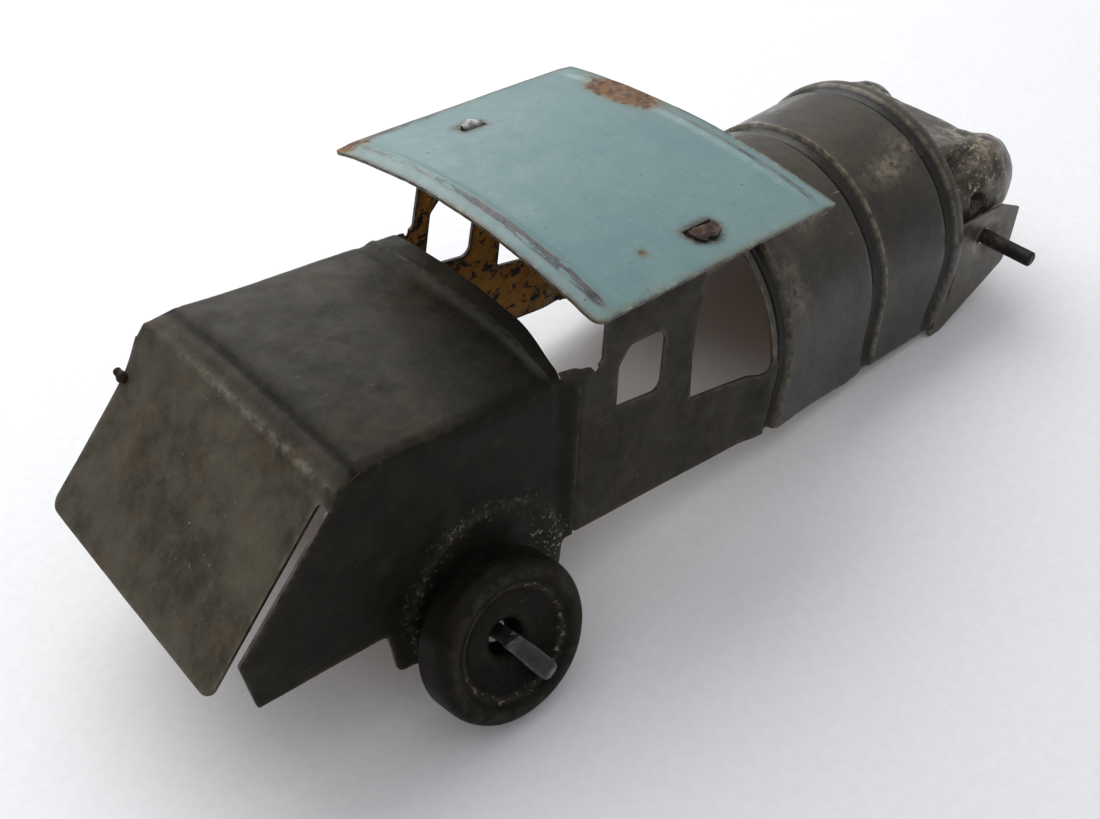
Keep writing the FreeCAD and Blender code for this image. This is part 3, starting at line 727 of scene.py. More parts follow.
def side_lip(x, z):
    """Upright bead in front of a dark trough."""
    raised = 0.24 * smooth(-10.7, -10.1, x) - 0.28 * bump(x, -11.5, 1.0)
    return raised * (0.35 + 0.65 * smooth(7.0, 13.0, z))


def front_skew(y):
    """How far the bunker's front edge is cut back towards the near side."""
    return SKEW * smooth(-5.0, -13.5, y) + 0.25 * smooth(2.0, -6.0, y)


def bunker_top(fold):
    """Bunker top and tail in one strip: distance along the fold line, and Y."""
    starts = np.linspace(0.0, fold.slit, round(fold.slit / FINE) + 1)
    half = wall_half(fold.at(starts, fold.line)[:, 1])
    flap = rounded([
        (fold.slit, -half[-1]),
        (fold.slit, -TAIL_HALF_TOP[NEAR], 0.45),
        (fold.length, -TAIL_HALF_TIP, 0.9),
        (fold.length - 0.35, TAIL_HALF_TIP, 1.1),
        (fold.slit, TAIL_HALF_TOP[FAR], 0.12),
        (fold.slit, half[-1]),
    ])
    edge = flap[:int(np.argmin(np.abs(flap - flap[0] * (1, -1)).sum(axis=1))) + 1]
    near = np.stack([starts, -half], axis=1)
    far = np.stack([starts, half], axis=1)[::-1]
    front = spaced([far[-1], near[0]], FINE)
    front = front[1:int(np.argmin(np.linalg.norm(front - near[0], axis=1)))]
    outline = np.concatenate([near[:-1], edge, far[1:], front])
    flat, faces, rim = flat_mesh(outline)
    s, y = flat.T
    base = fold.at(s, fold.line)
    up = fold.at(s, fold.normal)
    full = wall_half(base[:, 1])
    distance = full - np.abs(y)
    flat_rise = TOP_RISE * (1 - smooth(fold.bend - 1.5, fold.crease + 0.6, s))
    rise = flat_rise * (1 - (y / full) ** 2)
    curl = 0.25 * smooth(fold.crease + 4.0, fold.length, s) * (y / full) ** 4
    points = np.stack([base[:, 0], y, base[:, 1]], axis=1)
    folded = (distance < fold_radius(fold, s)) & (s < fold.slit + 0.05)
    turned = fold_over(fold, s, np.sign(y), np.clip(distance, 0, FOLD_R), True)
    points[folded] = turned[folded]
    trough = bump(s, fold.bend + 0.35, 0.95)
    lift = rise + top_lip(base[:, 0]) - 0.28 * trough + 0.12 * bump(s, fold.crease, 0.5) - curl
    points[:, 0] += up[:, 0] * lift
    points[:, 2] += up[:, 1] * lift
    points[:, 0] -= front_skew(y) * smooth(SKEW_X, LIP_X, base[:, 0])
    points = askew(points)
    crest = bump(s, fold.crease + 0.1, 0.4) * smooth(13.0, 6.0, np.abs(y + 2.0)) * 0.75
    crest += bump(base[:, 0], -12.0, 0.22) * (0.14 + 0.16 * smooth(-2.0, 12.0, y))
    wear = np.maximum(crest, 0.35 * fringe(rim, 0.25) * smooth(fold.slit - 0.5, fold.slit, s))
    # painted shade: the top darker than the tail, darker again towards its near front, in the trough
    # behind the bend and in the notch at the near corner of the crease
    dull = 0.68 * smooth(-33.8, -31.6, points[:, 0]) * (1 - 0.3 * smooth(4.0, 12.0, y))
    dull += 0.38 * smooth(-24.0, -18.0, points[:, 0]) * smooth(4.0, -8.0, y)
    pinch = np.exp(-((s - fold.crease) / 1.6) ** 2 - ((y + 13.2) / 1.2) ** 2)
    return points, faces, rim, wear, np.clip(np.maximum(dull, np.maximum(trough, pinch)), 0, 1)


def askew(points):
    """The far end of the crease is pushed back and up a little."""
    near_crease = np.exp(-((points[:, 0] + 33.4) / 3.2) ** 2 - ((points[:, 2] - 22.0) / 3.2) ** 2)
    amount = near_crease * smooth(3.0, 13.0, points[:, 1])
    return points + amount[:, None] * np.array([-1.0, 0.0, 0.45])


def bunker_side(fold, side):
    """Side panel with its axle guard: X and Z in the wall's plane."""
    starts = np.linspace(0.0, fold.slit, round(fold.slit / FINE) + 1)
    top = fold.at(starts, fold.line)
    rear_edge = {
        NEAR: [(-42.3, 11.1, 0.6), (-41.2, SILL_Z - 0.1, 0.3)],
        FAR: [(-33.1, 20.3, 0.2), (-41.1, 8.2, 0.6), (-40.6, SILL_Z - 0.1, 0.3)],
    }
    lower = rounded([
        tuple(top[-1]),
        *rear_edge[side],
        (-29.4, SILL_Z - 0.1, 0.8),
        (-28.5, 1.7, 0.9),
        (-12.6, 1.7, 1.2),
        (-11.1, 4.0, 1.0),
        (-10.9, SILL_Z, 0.6),
        (LIP_X, SILL_Z),
        tuple(top[0]),
    ])
    last = int(np.argmin(np.linalg.norm(lower - top[0], axis=1)))
    outline = np.concatenate([top[:-1], lower[:last]])
    flat, faces, rim = flat_mesh(outline)
    x, z = flat.T
    gap = np.full(len(flat), 1e9)
    nearest = np.zeros(len(flat))
    for s, point in zip(starts, top):
        away = np.linalg.norm(flat - point, axis=1)
        closer = away < gap
        gap[closer], nearest[closer] = away[closer], s
    points = np.stack([x, side * wall_half(z), z], axis=1)
    folded = gap < fold_radius(fold, nearest)
    turned = fold_over(fold, nearest, side, np.clip(gap, 0, FOLD_R), False)
    along = fold.at(nearest, fold.line)
    slide = flat - along
    up = fold.at(nearest, fold.normal)
    slide -= up * (slide * up).sum(axis=1)[:, None]
    turned[:, 0] += slide[:, 0]
    turned[:, 2] += slide[:, 1]
    points[folded] = turned[folded]
    away = np.hypot(x - BOSS[0], z - BOSS[1])
    boss = 0.36 * smooth(BOSS_R, BOSS_R - 1.7, away)
    push = boss * smooth(LIP_X - 0.4, LIP_X - 1.6, x) + side_lip(x, z)
    below_fold = smooth(0.0, FOLD_R, gap)
    points[:, 1] += side * push * below_fold
    points[:, 2] += top_lip(x) * (1 - below_fold)
    if side == NEAR:
        points[:, 0] -= SKEW * smooth(1.6, 0.0, gap) * smooth(SKEW_X, LIP_X, x)
    points = askew(points)
    wear = 0.30 * bump(x, LIP_X + 0.1, 0.25) * smooth(5.0, 12.0, z)
    wear = np.maximum(wear, 0.10 * bump(away, BOSS_R - 1.3, 0.6))
    wear = np.maximum(wear, 0.25 * fringe(rim, 0.2) * (gap > 0.3))
    specks = smooth(3.6, 1.2, np.hypot(x + 13.3, z - 7.5)) + 0.22 * bump(away, BOSS_R - 1.4, 1.8)
    return points, faces, rim, wear, np.clip(specks, 0, 1)


def dents(places, spots):
    """Offsets along the normal from soft round dents: (place, radius, depth) each."""
    push = np.zeros(len(places))
    for centre, radius, depth in spots:
        push -= depth * spot(np.linalg.norm(places - centre, axis=1), radius)
    return push


def bunker():
    """Bunker, tail and both side panels: one pressing."""
    fold = Fold()
    sheet = Sheet()
    points, faces, rim, wear, dull = bunker_top(fold)
    sheet.patch(sloped(points), faces, flip=True, wear=wear, dull=dull, edge=fringe(rim, 0.5))
    for side in (NEAR, FAR):
        points, faces, rim, wear, specks = bunker_side(fold, side)
        # painted shade: the side panels are marked fully shaded, darker than the top because they face
        # away from the light
        sheet.patch(sloped(points), faces, flip=side == FAR, wear=wear, specks=specks,
                    dull=np.full(len(points), 1.0), edge=fringe(rim, 0.5))

    pinched = (
        ((-32.3, -12.6, 21.7), 1.1, 0.42), ((-30.2, -12.7, 22.8), 1.0, -0.12),
        ((-31.6, -13.4, 20.6), 1.3, 0.26), ((-22.0, 3.0, 24.0), 6.0, 0.10),
        ((-38.5, 3.5, 15.0), 4.0, -0.10), ((-37.0, -7.0, 16.5), 3.2, 0.10),
    )
    spots = [(sloped(np.array([place]))[0], radius, depth) for place, radius, depth in pinched]
    lumpy = uneven((0.10, 9.0, 1), (0.035, 3.0, 2))
    return sheet.build("bunker_pressing_skin", press=lambda places: dents(places, spots) + lumpy(places))


# ---- cab sides ----
def roof_local(x, y):
    """Where a point of the sloping frame lies on the roof."""
    cos, sin = math.cos(ROOF_YAW), math.sin(ROOF_YAW)
    dx, dy = x - ROOF_MID[0], y - ROOF_MID[1]
    return dx * cos + dy * sin, dy * cos - dx * sin


def roof_rise(along, across):
    """Height of the roof over its side edges, in its own coordinates."""
    arch = np.interp(along, [-ROOF_LENGTH / 2, ROOF_LENGTH / 2], ROOF_ARCH)
    return arch * (1 - (across / ROOF_HALF) ** 2) + along * math.tan(ROOF_TILT)


def roof_top_at(x, y):
    """Height of the roof's upper face in the sloping frame."""
    return ROOF_EDGE_Z + roof_rise(*roof_local(x, y))


def cab_side(side):
    """Cab wall: it laps over the boiler's rim in front and curls under the bunker's front edge behind."""
    top = 33.0
    window_top = 23.6 if side == NEAR else 25.8
    curl_z = FOLD_Z - FOLD_R
    outline = rounded([
        (LIP_X - 1.4, SILL_Z + 0.1),
        (CAB_FRONT_X, SILL_Z - 0.4),
        (CAB_FRONT_X, 13.2, 1.0),
        (15.3, 15.6),
        (15.1, 13.5, 1.5),
        (4.6, 14.6, 0.4),
        (4.3, 19.0, 3.0),
        (5.4, top),
        (-6.7, top),
        (-7.0, FOLD_Z - 0.35, 0.5),
        (LIP_X - 1.4, curl_z + 1.25),
    ])
    window = rounded([
        (-5.1, 17.8, 0.2),
        (0.4, 17.4, 1.0),
        (0.5, window_top, 1.3),
        (-3.9, window_top - 0.1, 1.0),
        (-5.1, window_top - 1.8, 0.8),
    ])
    flat, faces, rim = flat_mesh(outline, [window])
    x, z = flat.T
    half = wall_half(z)
    roof_z = roof_top_at(x, side * half) - SHEET - 0.03
    height = np.where(z > 28.0, 28.0 + (z - 28.0) * (roof_z - 28.0) / (top - 28.0), z)
    lap = np.clip(z - RIM_CENTRE_Z, 0, None)
    rim_radius = boiler_radius(np.maximum(x, RIM_X)) + 0.12
    rim_y = np.sqrt(np.clip(rim_radius ** 2 - lap ** 2, 1.0, None))
    half = half + (rim_y - half) * smooth(12.4, 15.4, x) * (z < 18.0)
    joggle = 0.36 * smooth(LIP_X + 0.55, LIP_X + 0.05, x)
    curl = np.clip((z - curl_z) / FOLD_R, 0, 1.25) * smooth(-7.4, -8.3, x)
    half = half - joggle - FOLD_R * (1 - np.cos(curl))
    height = height - (z - curl_z - FOLD_R * np.sin(curl)) * (curl > 0)
    points = np.stack([x, side * half, height], axis=1)
    wear = 0.24 * fringe(rim, 0.2)
    sheet = Sheet()
    # painted shade: the cab walls are marked as shaded, fully where they lap over the boiler's rim
    dull = np.maximum(0.6, smooth(16.0, 16.6, x))
    sheet.patch(sloped(points), faces, flip=side == FAR, wear=wear * (x < 16.0), dull=dull,
                edge=fringe(rim, 0.6))
    press = uneven((0.05, 7.0, 5 + side), (0.015, 2.5, 8 + side))
    return sheet.build(f"cab_side_{SIDE_NAME[side]}_skin", press=press)


def roof_tab(side):
    """Tab that comes up through the roof slot and is bent over, its end rough."""
    half = TAB_LENGTH[side] / 2
    reach = TAB_FLAP[side]
    stem = 1.35
    spacing = 0.12
    outline = rounded([
        (-half, 0.0),
        (half, 0.0),
        (half - 0.1, stem + 0.55 * reach, 0.25),
        (half - 0.35, stem + reach, 0.2),
        (0.15 * half, stem + 0.35 + reach, 0.25),
        (-0.25 * half, stem + 0.05 + reach, 0.2),
        (-0.6 * half, stem + 0.3 + reach, 0.2),
        (-half, stem + 0.7 * reach, 0.2),
    ], spacing)
    flat, faces, rim = flat_mesh(outline, spacing=spacing)
    u, v = flat.T
    base = roof_top_at(TAB_X[side], side * wall_half(WALL_TOP_Z)) - stem + 0.02
    radius = 0.32
    lean = math.pi / 2 + math.radians(6.0)
    turn = np.clip((v - stem) / radius, 0, lean)
    run = np.clip(v - stem - radius * lean, 0, None)
    rise = np.minimum(v, stem) + radius * np.sin(turn) + run * math.cos(lean)
    out = radius * (1 - np.cos(turn)) + run * math.sin(lean)
    rise += 0.10 * run * u / half
    y = side * (wall_half(base) - SHEET + out)
    points = np.stack([TAB_X[side] + u, y, base + rise + u * math.tan(ROOF_TILT)], axis=1)
    sheet = Sheet()
    sheet.patch(sloped(points), faces, flip=side == NEAR, wear=0.6 * fringe(rim, 0.2))
    press = uneven((0.16, 0.8, 13 + side), (0.07, 0.35, 16 + side))
    return sheet.build(f"roof_tab_{SIDE_NAME[side]}", press=press)


# ---- roof ----
def roof_point(x, y, lift):
    """Local roof coordinates to the sloping frame."""
    cos, sin = math.cos(ROOF_YAW), math.sin(ROOF_YAW)
    top = ROOF_EDGE_Z + roof_rise(x, y) + lift
    return np.stack([ROOF_MID[0] + x * cos - y * sin, ROOF_MID[1] + x * sin + y * cos, top], axis=1)


def roof_slots():
    """Slots that the two tabs come through."""
    slots = []
    for side in (NEAR, FAR):
        x, y = roof_local(TAB_X[side], side * (wall_half(WALL_TOP_Z) - SHEET / 2))
        long_half, wide_half = TAB_LENGTH[side] / 2 + 0.2, 0.42
        slots.append(rounded([
            (x - long_half, y - wide_half), (x + long_half, y - wide_half),
            (x + long_half, y + wide_half), (x - long_half, y + wide_half),
        ], 0.25))
    return slots


def roof_ribs(x, y):
    """Height of the two pressed ribs and the scraped paint beside them."""
    half = ROOF_LENGTH / 2
    inner = smooth(ROOF_HALF - 0.3, ROOF_HALF - 3.0, np.abs(y))
    lift = np.zeros(len(x))
    rib = np.zeros(len(x))
    for end, height in ((-1, 0.20), (1, 0.24)):
        middle = end * (half - RIB_INSET)
        lift += height * bump(x, middle, 0.85) * inner
        ends = smooth(ROOF_HALF + 0.5, ROOF_HALF - 2.5, np.abs(y)) * (0.62 + 0.38 * smooth(8.0, -10.0, y))
        rib = np.maximum(rib, bump(x, middle + 0.35 * end, 0.95) * ends)
    # the strips outside the ribs hang down slightly
    lift -= 0.16 * smooth(half - RIB_INSET, half, x) + 0.22 * smooth(RIB_INSET - half, -half, x)
    return lift, rib


def roof_stains(x, y):
    """Rust and dark stains on the roof: round the tabs, at two rusted spots and along the far edge. The
    dark ring round each tab is partly dark dirt and partly painted shadow under the bent-over tab.
    """
    rust = np.zeros(len(x))
    for cx, cy, radius, amount in ((12.7, 7.9, 2.3, 1.0), (14.4, 9.6, 1.4, 0.7)):
        rust = np.maximum(rust, amount * spot(np.hypot(x - cx, (y - cy) / 2), radius))
    soot = np.zeros(len(x))
    # dark ring round each tab: partly dirt, partly painted shadow under the bent-over tab, stronger on the
    # near side
    for side in (NEAR, FAR):
        tx, ty = roof_local(TAB_X[side], side * (wall_half(WALL_TOP_Z) + 0.4))
        away = np.hypot((x - tx) / 1.35, y - ty)
        soot = np.maximum(soot, (1.0 if side == NEAR else 0.8) * spot(away, 1.55))
    away = np.hypot(x + 5.8, y + 12.9)
    rust = np.maximum(rust, 0.4 * spot(away, 0.9))
    soot = np.maximum(soot, 0.9 * spot(away, 0.4))
    far_edge = smooth(6.0, -12.0, x) * smooth(ROOF_HALF - 1.8, ROOF_HALF - 0.1, y)
    soot = np.maximum(soot, 0.9 * far_edge)
    rear_corner = smooth(-9.0, -13.0, x) * smooth(ROOF_HALF - 3.0, ROOF_HALF - 1.0, y)
    return np.maximum(rust, 0.5 * rear_corner), soot


def roof():
    """Arched roof sheet with a rib at each end and a slot for each tab."""
    half = ROOF_LENGTH / 2
    outline = rounded([
        (-half, -ROOF_HALF, 1.2),
        (half, -ROOF_HALF, 0.15),
        (half, ROOF_HALF, 0.3),
        (-half, ROOF_HALF, 0.5),
    ], FINER)
    flat, faces, rim = flat_mesh(outline, roof_slots(), FINER)
    edge_wave = 0.10 * np.array([noise.noise(Vector((a * 0.25, b * 0.25, 3.0))) for a, b in flat])
    edge_wave += 0.05 * np.array([noise.noise(Vector((a * 1.1, b * 1.1, 7.0))) for a, b in flat])
    edge_wave *= fringe(rim, 1.2)
    x, y = flat[:, 0] + edge_wave, flat[:, 1] + edge_wave * 0.7
    lift, rib = roof_ribs(x, y)
    rust, soot = roof_stains(x, y)
    marks = {"edge": fringe(rim, 0.45), "rim": fringe(rim, 0.26), "rib": rib, "rust": rust, "soot": soot}
    sheet = Sheet()
    sheet.patch(sloped(roof_point(x, y, lift)), faces, **marks)
    return sheet.build("roof_sheet_skin", press=uneven((0.07, 9.0, 21), (0.015, 2.0, 22)))


# ---- boiler ----
def boiler_radius(u):
    """Radius of the sheet by distance along it, with its three beads."""
    path = curved([
        (15.3, 14.78), (16.1, 14.75), (16.65, 14.32), (17.25, 14.36), (17.75, 15.12), (18.8, 15.08),
        (22.0, 14.72), (27.0, 14.2), (31.0, 13.98), (32.3, 13.84), (32.85, 13.26), (33.75, 13.24),
        (34.3, 14.04), (35.2, 14.0), (40.0, 14.06), (44.1, 14.1), (44.65, 13.72), (45.3, 13.74),
        (45.85, 14.46), (47.02, 14.42),
    ])
    return np.interp(u, path[:, 0], path[:, 1])


def bead_set_back(drop):
    """The front bead leans back towards its feet."""
    return 1.5 * smooth(0.5, 8.5, drop)


def boiler_foot(x):
    """Height of the lower edge of the boiler sheet, level frame."""
    return np.interp(x, [14.0, 20.3, 31.0, 50.0], [4.4, 3.4, 1.6, 1.2])


def boiler():
    """Horseshoe sheet with three beads; its rear rim is square to the sloping cab."""
    quarter = NOMINAL_R * math.pi / 2
    end = BOILER_END - LEVEL_SHIFT
    corner_rows = [RIM_X, 17.9, 20.3 - LEVEL_SHIFT, 31.0 - LEVEL_SHIFT, end]

    def leg(u):
        # the rim's foot follows the cab sill, the boiler's its own lower edge
        rim_leg = RIM_CENTRE_Z - (SILL_Z - 0.4)
        level_leg = BOILER_Z - float(boiler_foot(u + LEVEL_SHIFT))
        return rim_leg + (level_leg - rim_leg) * float(smooth(16.5, 20.0, np.array(u)))

    trim_height, trim_length = FRONT_TRIM
    feet = [(u, quarter + leg(u)) for u in corner_rows[:-1]]
    feet.append((end - trim_length, quarter + leg(end)))
    feet.append((end, quarter + leg(end) - trim_height))
    outline = rounded([(u, -t) for u, t in feet] + feet[::-1])
    flat, faces, rim = flat_mesh(outline)
    u, t = flat.T
    angle = np.clip(t / NOMINAL_R, -math.pi / 2, math.pi / 2)
    drop = np.clip(np.abs(t) - quarter, 0, None)
    set_back = bead_set_back(drop) * smooth(36.0, 44.0, u)
    radius = boiler_radius(u + set_back)
    # beads die away towards the feet
    flat_radius = np.interp(u, [RIM_X, 18.0, 27.0, 34.0, 47.0], [14.8, 15.0, 14.2, 13.95, 14.2])
    radius = flat_radius + (radius - flat_radius) * smooth(9.5, 6.0, drop)
    y = radius * np.sin(angle)
    lift = radius * np.cos(angle) - drop
    rim_points = sloped(np.stack([u, y, RIM_CENTRE_Z + lift], axis=1))
    level_points = standing(np.stack([u + LEVEL_SHIFT, y, BOILER_Z + lift], axis=1))
    part = smooth(17.2, 20.5, u)[:, None]
    points = rim_points * (1 - part) + level_points * part
    wear = np.zeros(len(u))
    for crest, amount in BEADS:
        wear = np.maximum(wear, amount * bump(u + set_back, crest, 0.3))
    # painted highlights: soft bright patches on the boiler's near side, put into the wear mark beside the
    # real crest and edge wear
    for cu, ct, ru, rt, amount in (
        (26.0, -8.5, 2.4, 1.7, 0.35), (39.5, -8.8, 2.6, 1.4, 0.5), (43.0, -7.4, 1.6, 1.6, 0.4),
        (20.5, -14.5, 1.6, 3.0, 0.3),
    ):
        wear = np.maximum(wear, amount * np.exp(-((u - cu) / ru) ** 2 - ((t - ct) / rt) ** 2))
    wear = np.maximum(wear, 0.3 * fringe(rim, 0.2))
    sheet = Sheet()
    # painted shade: darker down the sides and in the three grooves
    dull = 0.15 + 0.55 * smooth(6.0, 20.0, np.abs(t))
    for groove in GROOVES:
        dull = np.maximum(dull, smooth(0.95, 0.55, np.abs(u + set_back - groove)))
    sheet.patch(points, faces, wear=wear, dull=dull, edge=fringe(rim, 0.6))
    return sheet.build("boiler_shell_skin", press=uneven((0.09, 8.0, 31), (0.03, 2.8, 32)))


# ---- smokebox front ----
def prism_parts(outline, y_from, y_to):
    """Closed prism along Y over (x, z) corners."""
    count = len(outline)
    points = [(x, y, z) for y in (y_from, y_to) for x, z in outline]
    faces = [tuple(range(count))[::-1], tuple(range(count, 2 * count))]
    for i in range(count):
        k = (i + 1) % count
        faces.append((i, k, k + count, i + count))
    return points, faces


def ball_parts(centre, half, rings=24, turns=32):
    """Closed ellipsoid."""
    points, faces = [], []
    for i in range(1, rings):
        polar = math.pi * i / rings
        for k in range(turns):
            around = 2 * math.pi * k / turns
            points.append((
                centre[0] + half[0] * math.sin(polar) * math.cos(around),
                centre[1] + half[1] * math.sin(polar) * math.sin(around),
                centre[2] + half[2] * math.cos(polar),
            ))
    for i in range(rings - 2):
        for k in range(turns):
            m = (k + 1) % turns
            faces.append((i * turns + k, (i + 1) * turns + k, (i + 1) * turns + m, i * turns + m))
    top, bottom = len(points), len(points) + 1
    points += [(centre[0], centre[1], centre[2] + end * half[2]) for end in (1, -1)]
    last = (rings - 2) * turns
    for k in range(turns):
        m = (k + 1) % turns
        faces.append((top, k, m))
        faces.append((bottom, last + m, last + k))
    return points, faces


def horseshoe_parts(radius, x_from, x_to, foot_z):
    """Closed slab with a round top, square to X."""
    count = 48
    arch = [(radius * math.sin(a), BOILER_Z + radius * math.cos(a))
            for a in np.linspace(-math.pi / 2, math.pi / 2, count)]
    ring = [(-radius, foot_z)] + arch + [(radius, foot_z)]
    total = len(ring)
    points = [(x, y, z) for x in (x_from, x_to) for y, z in ring]
    faces = [tuple(range(total)), tuple(range(2 * total - 1, total - 1, -1))]
    for i in range(total):
        k = (i + 1) % total
        faces.append((i + total, k + total, k, i))
    return points, faces


def merged_lumps(parts, voxel):
    """One watertight skin round several overlapping solids, with softened joins."""
    points, faces = [], []
    for part_points, part_faces in parts:
        first = len(points)
        points += part_points
        faces += [tuple(i + first for i in f) for f in part_faces]
    mesh = bpy.data.meshes.new("lump")
    mesh.from_pydata(points, [], faces)
    bm = bmesh.new()
    bm.from_mesh(mesh)
    bmesh.ops.recalc_face_normals(bm, faces=bm.faces)
    bm.to_mesh(mesh)
    bm.free()
    lump = bpy.data.objects.new("lump", mesh)
    bpy.context.scene.collection.objects.link(lump)
    remesh = lump.modifiers.new("skin", "REMESH")
    remesh.mode = "VOXEL"
    remesh.voxel_size = voxel
    shown = lump.evaluated_get(bpy.context.evaluated_depsgraph_get())
    result = bmesh.new()
    result.from_mesh(shown.to_mesh())
    shown.to_mesh_clear()
    bpy.data.objects.remove(lump)
    return result


def nose():
    """Pressed front: flat end wall, sloping wedge and two bulges, blended into each other."""
    wedge = [(46.0, 21.4), (49.0, 20.3), (59.2, 17.6), (60.9, 14.6), (61.5, 6.0), (46.0, 6.0)]
    parts = [prism_parts(wedge, -8.2, 8.2), horseshoe_parts(14.4, 44.0, 48.72, 2.0)]
    for side in (NEAR, FAR):
        parts += [ball_parts((x, side * y, z), half) for (x, y, z), half in NOSE_LUMPS]
    bm = merged_lumps(parts, 0.28)
    for _ in range(7):
        bmesh.ops.smooth_vert(
            bm, verts=bm.verts, factor=0.5, use_axis_x=True, use_axis_y=True, use_axis_z=True
        )
    wear = bm.verts.layers.float.new("wear")
    specks = bm.verts.layers.float.new("specks")
    bm.normal_update()
    places = np.array([tuple(v.co) for v in bm.verts])
    bulge = np.exp(-((places[:, 0] - 57.0) / 6.0) ** 2 - ((np.abs(places[:, 1]) - 8.5) / 4.5) ** 2)
    lumps = waver(places, 2.2, 41) * 0.34 + waver(places, 1.0, 42) * 0.16
    offsets = lumps * bulge + 0.06 * waver(places, 6.0, 43)
    # dark torn pit at the inner foot of each bulge
    for side in (NEAR, FAR):
        mirror = np.array([1.0, side, 1.0])
        away = np.linalg.norm(places - mirror * NOSE_PIT, axis=1)
        offsets -= 1.1 * spot(away, 0.8)
        # painted highlight, partly worn metal: a bright spot on each bulge raises the wear and specks
        # marks
        highlight_distance = np.linalg.norm(places - mirror * NOSE_HIGHLIGHT, axis=1)
        bulge = np.maximum(bulge, 2.2 * spot(highlight_distance, 1.9)) - 1.5 * spot(away, 0.8)
    for vert, offset, amount in zip(bm.verts, offsets, bulge):
        vert.co += vert.normal * float(offset)
        vert[wear] = float(np.clip(0.5 * amount * (0.4 + 1.6 * offset / 0.3), 0, 0.9))
        vert[specks] = float(np.clip(0.5 * amount, 0, 1))
    bmesh.ops.bisect_plane(
        bm, geom=bm.verts[:] + bm.edges[:] + bm.faces[:], plane_co=(NOSE_BACK_X, 0, 0), plane_no=(1, 0, 0),
        clear_inner=True,
    )
    centres = [(face, face.calc_center_median()) for face in bm.faces]
    open_z = [LUMP_OPEN_Z if centre.x > NOSE_BACK_X + 1.1 else WALL_OPEN_Z for _, centre in centres]
    below = [face for (face, centre), limit in zip(centres, open_z) if centre.z < limit]
    bmesh.ops.delete(bm, geom=below, context="FACES")
    loose = [v for v in bm.verts if not v.link_faces]
    bmesh.ops.delete(bm, geom=loose, context="VERTS")
    for vert in bm.verts:
        vert.co.x += SHIFT_X
    bm.normal_update()
    thicken(bm, SHEET)
    return finished("smokebox_front_skin", bm)


def front_plate(side):
    """Side plate of the front, splayed at the foot and pinched in round the axle rod."""
    height, length = FRONT_TRIM
    outline = rounded([
        (BOILER_END, 13.4),
        (56.8, 12.7, 0.8),
        (60.4, 10.9, 0.3),
        (59.8, 6.8, 1.5),
        (58.9, 4.4, 1.0),
        (47.9, 0.03, 0.3),
        (46.2, 0.03, 0.3),
        (45.6, 1.1),
        (BOILER_END - length + 0.02, 1.1),
        (BOILER_END, 1.1 + height),
    ])
    hole = circle((ROD_X, ROD_Z), ROD_R + 0.06, 0.15)
    flat, faces, rim = flat_mesh(outline, [hole])
    x, z = flat.T
    away = np.hypot(x - ROD_X, (z - ROD_Z) * 1.15)
    pinch = 0.75 * spot(away, 1.9)
    below = ROD_Z - z
    y = PLATE_Y + below * math.sin(PLATE_SPLAY) - pinch
    points = standing(np.stack([x, side * y, ROD_Z - below * math.cos(PLATE_SPLAY)], axis=1))
    sheet = Sheet()
    wear = np.maximum(0.26 * fringe(rim, 0.2), 0.30 * bump(away, 2.4, 0.8))
    # painted shade: darker in the hollow round the rod
    sheet.patch(points, faces, flip=side == FAR, wear=wear, dull=0.55 * spot(away, 1.6),
                edge=fringe(rim, 0.6))
    lumpy = uneven((0.06, 4.0, 51 + side))

    def inwards(places):
        return np.minimum(lumpy(places), 0.0)

    return sheet.build(f"front_plate_{SIDE_NAME[side]}", press=inwards)


# ---- wheels and axles ----
def rear_wheel(side):
    """Deep pressed dish with a rounded tyre, a speckled ring and a recessed centre."""
    outer = curved([
        (WHEEL_R - 0.02, -3.35), (WHEEL_R - 0.03, -1.6), (WHEEL_R - 0.14, -0.85), (WHEEL_R - 0.45, -0.32),
        (6.5, -0.05), (6.05, -0.03), (5.6, -0.20), (5.2, -0.46), (4.95, -0.56), (4.6, -0.78),
        (4.0, -1.12), (3.2, -1.34), (2.5, -1.44), (1.95, -1.60), (1.55, -1.92), (1.3, -2.4),
        (1.08, -2.9), (1.0, -3.2),
    ])
    inner = curved([
        (1.25, -3.24), (1.4, -2.7), (1.75, -2.1), (2.15, -1.86), (3.2, -1.64), (4.1, -1.42), (4.75, -1.06),
        (5.1, -0.86), (5.4, -0.72), (5.75, -0.46), (6.2, -0.35), (6.75, -0.48), (WHEEL_R - 0.36, -1.2),
        (WHEEL_R - 0.33, -3.35),
    ])
    profile = np.concatenate([outer, inner])
    radius, depth = profile.T
    front = np.arange(len(profile)) < len(outer)
    # the light band on the tyre's crest at radius 6.3 is a painted highlight; the ring at radius 5 is
    # speckled wear
    wear = np.where(front, 0.22 * bump(radius, 5.0, 0.45) + 0.20 * bump(radius, 6.3, 0.8), 0.0)
    wear = wear + 0.10 * bump(radius, 2.2, 0.7) * front
    specks = np.where(front, 0.75 * bump(radius, 5.0, 0.5), 0.0)
    # painted shade: the back of the wheel and the middle round the hole are marked as shaded
    dull = np.where(front & (radius > 1.7), 0.0, 1.0)
    edge = np.where(depth < -3.2, 1.0, 0.0)
    hub = Vector((HUB[0] + SHIFT_X, side * HUB[1], HUB[2]))
    axis = Vector((0, side * math.cos(CAMBER), math.sin(CAMBER)))
    return lathe(f"rear_wheel_{SIDE_NAME[side]}_skin", profile, hub, axis, 128, 0.05, 3 + side,
                 wear=wear, specks=specks, dull=dull, edge=edge)


